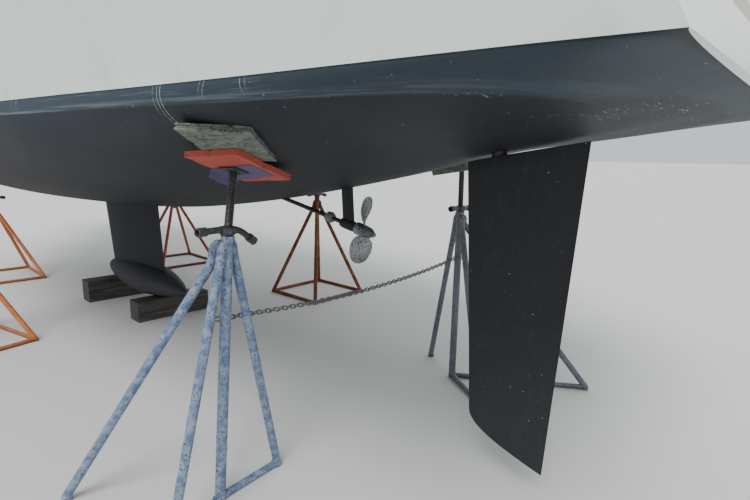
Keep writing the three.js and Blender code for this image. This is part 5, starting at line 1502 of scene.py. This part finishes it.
vang = Piece("vang_skin", "boom_and_vang")
vang_foot, vang_top = Vector((PIN_X - 0.08, 0, VANG_Z)), Vector((PIN_X - 1.5, 0, BOOM_Z - 0.07))
along = vang_top - vang_foot
profile = [(0, 0.018), (0.02, 0.027), (0.05, 0.028), (0.92, 0.028), (0.93, 0.025), (0.94, 0.021)]
profile += [(along.length - short, radius) for short, radius in ((0.11, 0.021), (0.1, 0.026), (0.07, 0.026))]
vang.add(SPAR, turned(profile, vang_foot, along, 30))
vang.add(STAINLESS, block((-0.06, -0.018, -0.075), (0.06, 0.018, -0.0205), 0.008, vang_top),
         *pin_tongue(VANG_Z, 0.11))
vang.make("spar", "vang")


# Standing rigging
def turnbuckle(place, along):
    """A closed rigging screw with its fork and locking nuts."""
    profile = [(0, 0.009), (0.03, 0.009), (0.034, 0.006), (0.055, 0.006), (0.058, 0.012), (0.07, 0.0125),
               (0.15, 0.0125), (0.162, 0.012), (0.165, 0.0065), (0.19, 0.0065), (0.195, 0.008),
               (0.25, 0.0075), (0.255, 0.004)]
    return turned(profile, place, along, 20)


def deck_plate(width, depth, corner, foot):
    """A chainplate's cover on the deck."""
    return plate(rounded(width, depth, corner), 0.005, Matrix.Translation(foot - UP * 0.001), 0.0015)


def wires(piece, *runs, radius=0.005):
    piece.add(WIRE_ROPE, *(rod(start, end, radius, 10) for start, end in runs))


for side_name, side in SIDES:
    rig = Piece(f"shrouds_{side_name}_skin")
    foot = edge_spot(5.27, side, 0.13)
    top = foot + UP * 0.19
    tips = [spreader_tip(z, length, side, 0.016) for z, length in SPREADERS]
    head = Vector((MAST_X, side * 0.056, MAST_TOP - 0.12))
    lowers = [(start, Vector((MAST_X, side * 0.074, z))) for start, z in ((top, 8.84), (tips[0], 13.54))]
    wires(rig, *zip([top, *tips], [*tips, head]), *lowers)
    rig.add(STAINLESS, *(turnbuckle(top - UP * 0.005, end - top) for end in (tips[0], lowers[0][1])))
    swage = [(-0.006, 0.009), (0.02, 0.009), (0.09, 0.0075), (0.1, 0.0055)]
    rig.add(STAINLESS, *(turned(swage, end, start - end, 16) for start, end in lowers),
            block((-0.02, -0.005, -0.02), (0.02, 0.005, 0.2), 0.0045, foot),
            deck_plate(0.1, 0.06, 0.02, foot))
    rig.make("stainless", f"shrouds_{side_name}")

backstay = Piece("backstay_skin")
split, head = Vector((0.96, 0, 7.0)), Vector((MAST_X - 0.225, 0, MAST_TOP - 0.066))
wires(backstay, (split, head))
facing_aft = Matrix.Translation(split + FORWARD * 0.004) @ axes((0, 1, 0), UP, FORWARD)
swage = [(-0.01, 0.008), (0.03, 0.008), (0.09, 0.006), (0.1, 0.005)]
backstay.add(STAINLESS, turned(swage, head, split - head, 16),
             plate([(0.035, -0.035), (0.0, 0.035), (-0.035, -0.035)], 0.008, facing_aft))
for side in (1, -1):
    foot = deck_spot(-0.24, side * 1.29)
    wires(backstay, (foot + UP * 0.02, split))
    backstay.add(STAINLESS, turnbuckle(foot + UP * 0.03, split - foot),
                 block((-0.004, -0.016, -0.02), (0.004, 0.016, 0.06), 0.0035, foot),
                 deck_plate(0.07, 0.07, 0.015, foot))
backstay.make("stainless", "backstay")

STEM_Z = deck_spot(10.6).z + 0.006
fore_foot, fore_head = Vector((10.56, 0, STEM_Z + 0.012)), Vector((5.795, 0, MAST_TOP - 0.0603))
rise = fore_head - fore_foot


def on_forestay(height):
    return fore_foot + rise * (height / rise.z)


fore = Piece("forestay_skin")
fore.add(SPAR, tube([on_forestay(h) for h in (0.34, 4.0, 9.0, 15.0)], 0.017, 20, flat=0.7))
wires(fore, (on_forestay(14.9), fore_head - rise.normalized() * 0.02), radius=0.006)
fore.add(STAINLESS, rod(fore_foot + UP * 0.004, on_forestay(0.2), 0.009, 18))
drum = [(0, 0.03), (0.004, 0.078), (0.012, 0.08), (0.018, 0.06), (0.03, 0.036), (0.09, 0.036), (0.105, 0.06),
        (0.112, 0.08), (0.12, 0.078), (0.125, 0.03), (0.17, 0.024)]
fore.add(BLACK_RUBBER, turned(drum, on_forestay(0.17), rise, 40))
side = rise.orthogonal().normalized()
for a in whole_turn(8):
    out = (side * math.cos(a) + rise.normalized().cross(side) * math.sin(a)) * 0.0765
    fore.add(STAINLESS, rod(on_forestay(0.175) + out, on_forestay(0.287) + out, 0.003, 8))
swivel = [(0, 0.02), (0.01, 0.03), (0.06, 0.03), (0.07, 0.02)]
fore.add(BLACK_RUBBER, turned(swivel, on_forestay(14.72), rise, 24)).make("spar", "forestay")

# Bow roller
CHEEK = [(10.7, 0.004), (10.882, 0.004), (10.882, 0.07), (10.872, 0.086), (10.855, 0.09), (10.79, 0.088),
         (10.745, 0.06), (10.7, 0.02)]
WAISTED = [(0, 0.02), (0.004, 0.026), (0.02, 0.026), (0.05, 0.012), (0.053, 0.012), (0.083, 0.026),
           (0.1, 0.026), (0.103, 0.02)]
roller = Piece("bow_roller_skin")
roller.add(STAINLESS, plate(rounded(0.462, 0.12, 0.012), 0.012, Matrix.Translation((10.651, 0, STEM_Z))),
           block((10.42, -0.034, STEM_Z - 0.02), (10.6, 0.034, STEM_Z + 0.001), 0.003))
on_edge = axes(FORWARD, UP, (0, -1, 0))
for y in (0.06, -0.052):
    roller.add(STAINLESS, plate(CHEEK, 0.008, Matrix.Translation((0, y, STEM_Z)) @ on_edge, 0.0015))
roller.add(BLACK_RUBBER, turned(WAISTED, (10.837, -0.0515, STEM_Z + 0.052), (0, 1, 0)))
roller.add(STAINLESS, athwart(10.837, STEM_Z + 0.052, 0.0625, 0.007, 16)).make("stainless", "bow_roller")

# Pulpit, guardrails and pushpits
RAIL_RADIUS, RAIL_HEIGHT, RAIL_MIDDLE, RAIL_LEAN = 0.0125, 0.61, 0.3, 0.03
WIRE_END = [(0, 0.005), (0.01, 0.0065), (0.09, 0.0065), (0.1, 0.004)]
ELBOW = [(-0.016, 0.004), (-0.01, 0.0125), (0.01, 0.0125), (0.016, 0.004)]
nose = Vector((10.78, 0.15, deck_spot(10.6).z + 0.63))
pulpit = Piece("pulpit_skin")
hoop = []
for side in (1, -1):
    feet = [edge_spot(x, side, set_in) for x, set_in in PULPIT_FEET]
    tops = [foot + Vector((RAIL_LEAN, 0, RAIL_HEIGHT)) for foot in feet]
    low = [foot + Vector((RAIL_LEAN / 2, -0.001 * side, RAIL_MIDDLE)) for foot in feet]
    pulpit.add(STAINLESS, *(rod(foot - UP * 0.01, top, RAIL_RADIUS) for foot, top in zip(feet, tops)),
               rod(*low, RAIL_RADIUS * 0.8))
    hoop += [*tops, Vector((nose.x, side * nose.y, nose.z))][::side]
pulpit.add(STAINLESS, tube(path_through(hoop, 14), RAIL_RADIUS, 18))
lamp = Vector((10.79, 0, nose.z - 0.005))
pulpit.add(BLACK_RUBBER, block((-0.03, -0.035, -0.06), (0.02, 0.035, -0.008), 0.01, lamp))
for side, lens in ((1, RED_LENS), (-1, GREEN_LENS)):
    pulpit.add(lens, block((-0.012, side * 0.004, -0.05), (0.028, side * 0.03, -0.018), 0.006, lamp))
pulpit.make("stainless", "pulpit")

for side_name, side in SIDES:
    rails = Piece(f"guardrail_{side_name}_skin")
    feet = [edge_spot(x, side, set_in) for x, set_in in STANCHIONS]
    corner, inner = edge_spot(PUSHPIT_CORNER[0], side, PUSHPIT_CORNER[1]), deck_spot(-0.42, side * 0.88)
    for foot in [*feet, corner, inner]:
        top = foot + UP * RAIL_HEIGHT
        rails.add(STAINLESS, rod(foot - UP * 0.01, top, RAIL_RADIUS),
                  turned([(0, 0.0128), (0.008, 0.0132), (0.014, 0.008)], top - UP * 0.006, sides=18))
    run = [edge_spot(PULPIT_FEET[0][0], side, PULPIT_FEET[0][1]) - Vector((0.016, 0.001 * side, 0)), *feet]
    for height in (RAIL_HEIGHT - 0.006, RAIL_MIDDLE):
        start, *_, last, turn, end = (p + UP * height for p in (*run, corner, inner))
        wires(rails, *((a + UP * height, b + UP * height) for a, b in zip(run, run[1:])), radius=0.003)
        rails.add(STAINLESS, turned(WIRE_END, start, run[1] - run[0], 14), tube([last, turn], RAIL_RADIUS),
                  tube([turn, end], RAIL_RADIUS), turned(ELBOW, turn, sides=18))
    if side > 0:
        lamp = inner + UP * (RAIL_HEIGHT - 0.07)
        rails.add(BLACK_RUBBER, block((-0.05, -0.02, 0), (-0.01, 0.02, 0.05), 0.008, lamp))
        rails.add(CLEAR_LENS, block((-0.056, -0.014, 0.008), (-0.045, 0.014, 0.042), 0.006, lamp))
    rails.make("stainless", f"guardrail_{side_name}")

# Pedestal, compass and wheel
PEDESTAL_X, PEDESTAL_LOW, PEDESTAL_TALL = 0.7, 2.6203, 0.8497
HELM_X, HELM_Z, GUARD_X = 0.56, 3.38, 0.86
rings = []
for t, swell in ((0, 0.012), (0.012, 0.012), (0.02, 0), (0.5, 0), (0.9, 0), (0.985, 0), (1, -0.012)):
    aft, fore_end, half = -0.11 + 0.03 * t - swell, 0.11 - 0.02 * t + swell, 0.115 - 0.0192 * t + swell
    outline = rounded(fore_end - aft, 2 * half, 0.045, middle=(PEDESTAL_X + (aft + fore_end) / 2, 0))
    rings.append([(x, y, PEDESTAL_LOW + t * PEDESTAL_TALL) for x, y in outline])
pedestal = Piece("steering_pedestal_skin").add(MOULDED, skin(rings)).object()
carve(pedestal, BLACK_RUBBER, tube([(0.5, 0, HELM_Z), (0.67, 0, HELM_Z)], 0.0148, 28))
settle(pedestal, "yacht", "topsides", "steering_pedestal", crease=35)

helm = Piece("helm_fittings")
bowl = [(-0.01, 0.075), (0.02, 0.075), (0.03, 0.07), (0.045, 0.066)]
helm.add(BLACK_RUBBER, turned(bowl, (0.705, 0, 3.47), sides=40))
dome = [(0, 0.06), (0.02, 0.052), (0.036, 0.034), (0.044, 0.012), (0.0445, 0.002)]
helm.add(TINTED, turned(dome, (0.705, 0, 3.513), sides=40))
arch = [(-0.16, 2.63), (-0.16, 3.35), (-0.13, 3.5), (0.0, 3.56), (0.13, 3.5), (0.16, 3.35), (0.16, 2.63)]
helm.add(STAINLESS, tube(path_through([(GUARD_X, y, z) for y, z in arch], 8), 0.0125, 18))
for y in (0.16, -0.16):
    foot = [(-0.004, 0.03), (0.004, 0.03), (0.007, 0.018)]
    helm.add(STAINLESS, turned(foot, (GUARD_X, y, 2.629), sides=24))
helm.add(BLACK_RUBBER, block((0.8, -0.125, 3.27), (0.85, 0.125, 3.39), 0.012))
for y in (-0.06, 0.06):
    helm.add(TINTED, turned([(0, 0.044), (0.004, 0.044), (0.006, 0.036)], (0.8015, y, 3.33), -FORWARD, 36))
lever = [(PEDESTAL_X, -0.108, 3.2), (PEDESTAL_X, -0.138, 3.2), (PEDESTAL_X, -0.146, 3.24),
         (0.715, -0.148, 3.36)]
knob = [(0, 0.006), (0.004, 0.013), (0.02, 0.014), (0.03, 0.006)]
helm.add(STAINLESS, tube(path_through(lever, 5), 0.006, 12))
helm.add(BLACK_RUBBER, turned(knob, lever[-1], (0.1, 0, 1), 20))
helm.make("stainless")

RIM = 0.43
wheel_hub = Vector((HELM_X, 0, HELM_Z))


def on_wheel(angle, radius):
    return wheel_hub + Vector((0, math.cos(angle), math.sin(angle))) * radius


wheel = Piece("steering_wheel_skin", "wheel")
wheel.add(LEATHER, tube([on_wheel(a, RIM) for a in whole_turn(96)], 0.0135, 18, loop=True))
for a in whole_turn(5):
    a += math.pi / 2
    socket = [(0, 0.009), (0.012, 0.015), (0.02, 0.0142)]
    wheel.add(STAINLESS, rod(on_wheel(a, 0.026), on_wheel(a, 0.42), 0.0085, 14, 0.007),
              turned(socket, on_wheel(a, 0.402), on_wheel(a, 1) - wheel_hub, 16),
              tube([on_wheel(a + d, RIM) for d in np.linspace(-0.05, 0.05, 7)], 0.0141, 18))
boss = [(-0.025, 0.02), (-0.022, 0.03), (-0.012, 0.034), (0.014, 0.034), (0.025, 0.028)]
wheel.add(STAINLESS, turned(boss, wheel_hub, FORWARD, 32),
          turned([(-0.034, 0.004), (-0.032, 0.013), (-0.022, 0.015)], wheel_hub, FORWARD, 6),
          rod(wheel_hub, wheel_hub + FORWARD * 0.09, 0.0139, 24)).make("stainless", "steering_wheel")

# Masthead aerial and lamp
ON_MAST = MAST_TOP - 0.002
aerial = [(0, 0.012), (0.02, 0.012), (0.024, 0.004), (0.15, 0.0015)]
lamp = [(0, 0.02), (0.012, 0.024), (0.05, 0.024), (0.06, 0.014)]
aloft = Piece("masthead_fittings")
aloft.add(BLACK_RUBBER, turned(aerial, (5.5, 0, ON_MAST), sides=14))
aloft.add(CLEAR_LENS, turned(lamp, (5.66, 0, ON_MAST), sides=24))
aloft.make("spar")


# Chain between the aft stands, of plain steel links
def chain(points, link, rod_radius):
    """Links of bent rod along a smooth line, each turned a quarter from the last."""
    path = np.array([tuple(p) for p in path_through(points, 40)])
    run = np.concatenate([[0], np.cumsum(np.linalg.norm(np.diff(path, axis=0), axis=1))])
    inside = link - 2 * rod_radius * 0.96
    half_width = link * 0.33
    half_length = link / 2 - half_width

    def along(distance):
        return Vector([np.interp(distance, run, path[:, i]) for i in range(3)])

    links = []
    for k in range(int(run[-1] / inside)):
        s = (k + 0.5) * inside
        ahead = (along(s + 0.01) - along(s - 0.01)).normalized()
        across = ahead.cross(UP).normalized()
        side = (across + across.cross(ahead) * (1 if k % 2 else -1)).normalized()
        bend = [(end * (half_length + half_width * math.cos(t)), end * half_width * math.sin(t))
                for end in (1, -1) for t in np.linspace(-math.pi / 2, math.pi / 2, 9)]
        links.append(tube([along(s) + ahead * u + side * v for u, v in bend], rod_radius, 8, loop=True))
    return links


CHAIN_LINE = [(0.652, 1.03, 0.966), (0.655, 0.55, 0.936), (0.662, 0.07, 0.926), (0.675, -0.45, 0.944),
              (0.69, -0.935, 0.985)]
links = Piece("slack_chain").add(CHAIN_STEEL, *chain(CHAIN_LINE, 0.034, 0.0038))
# The chain's last link on each side goes round the stand's post
for (x, _, z), y in ((CHAIN_LINE[0], 1.075), (CHAIN_LINE[-1], -0.975)):
    middle = Vector((x - (0.004 if y > 0 else 0), y, z))
    ring = [middle + Vector((0.0365 * math.cos(a), 0.0365 * math.sin(a), 0.004 * math.cos(3 * a)))
            for a in whole_turn(32)]
    links.add(CHAIN_STEEL, tube(ring, 0.0042, 8, loop=True))
links.make("shaft")

# Finishes of the CAD nodes that stay
finish_node("cockpit", MOULDED, 0.01)
finish_node("engine", ENGINE_PAINT, 0.01)


# Floor and light
def light_the_studio():
    ground, far = Piece("studio_floor", shift=0), 400
    corners = [(-far, -far, 0), (far, -far, 0), (far, far, 0), (-far, far, 0)]
    ground.add(pale_floor(), (corners, [(0, 1, 2, 3)])).object()
    world = bpy.data.worlds.new("studio")
    bpy.context.scene.world = world
    world.use_nodes = True
    backdrop = world.node_tree.nodes["Background"]
    backdrop.inputs["Color"].default_value = (0.86, 0.9, 0.95, 1)
    backdrop.inputs["Strength"].default_value = 0.9
    for name, strength, spread, height, turned_to in (("key", 2.7, 30, 52, 120), ("fill", 0.8, 70, 35, -60)):
        lamp = bpy.data.lights.new(name, "SUN")
        lamp.energy, lamp.angle = strength, math.radians(spread)
        sun = bpy.data.objects.new(name, lamp)
        bpy.context.collection.objects.link(sun)
        sun.rotation_euler = (math.radians(90 - height), 0, math.radians(turned_to + 90))


light_the_studio()
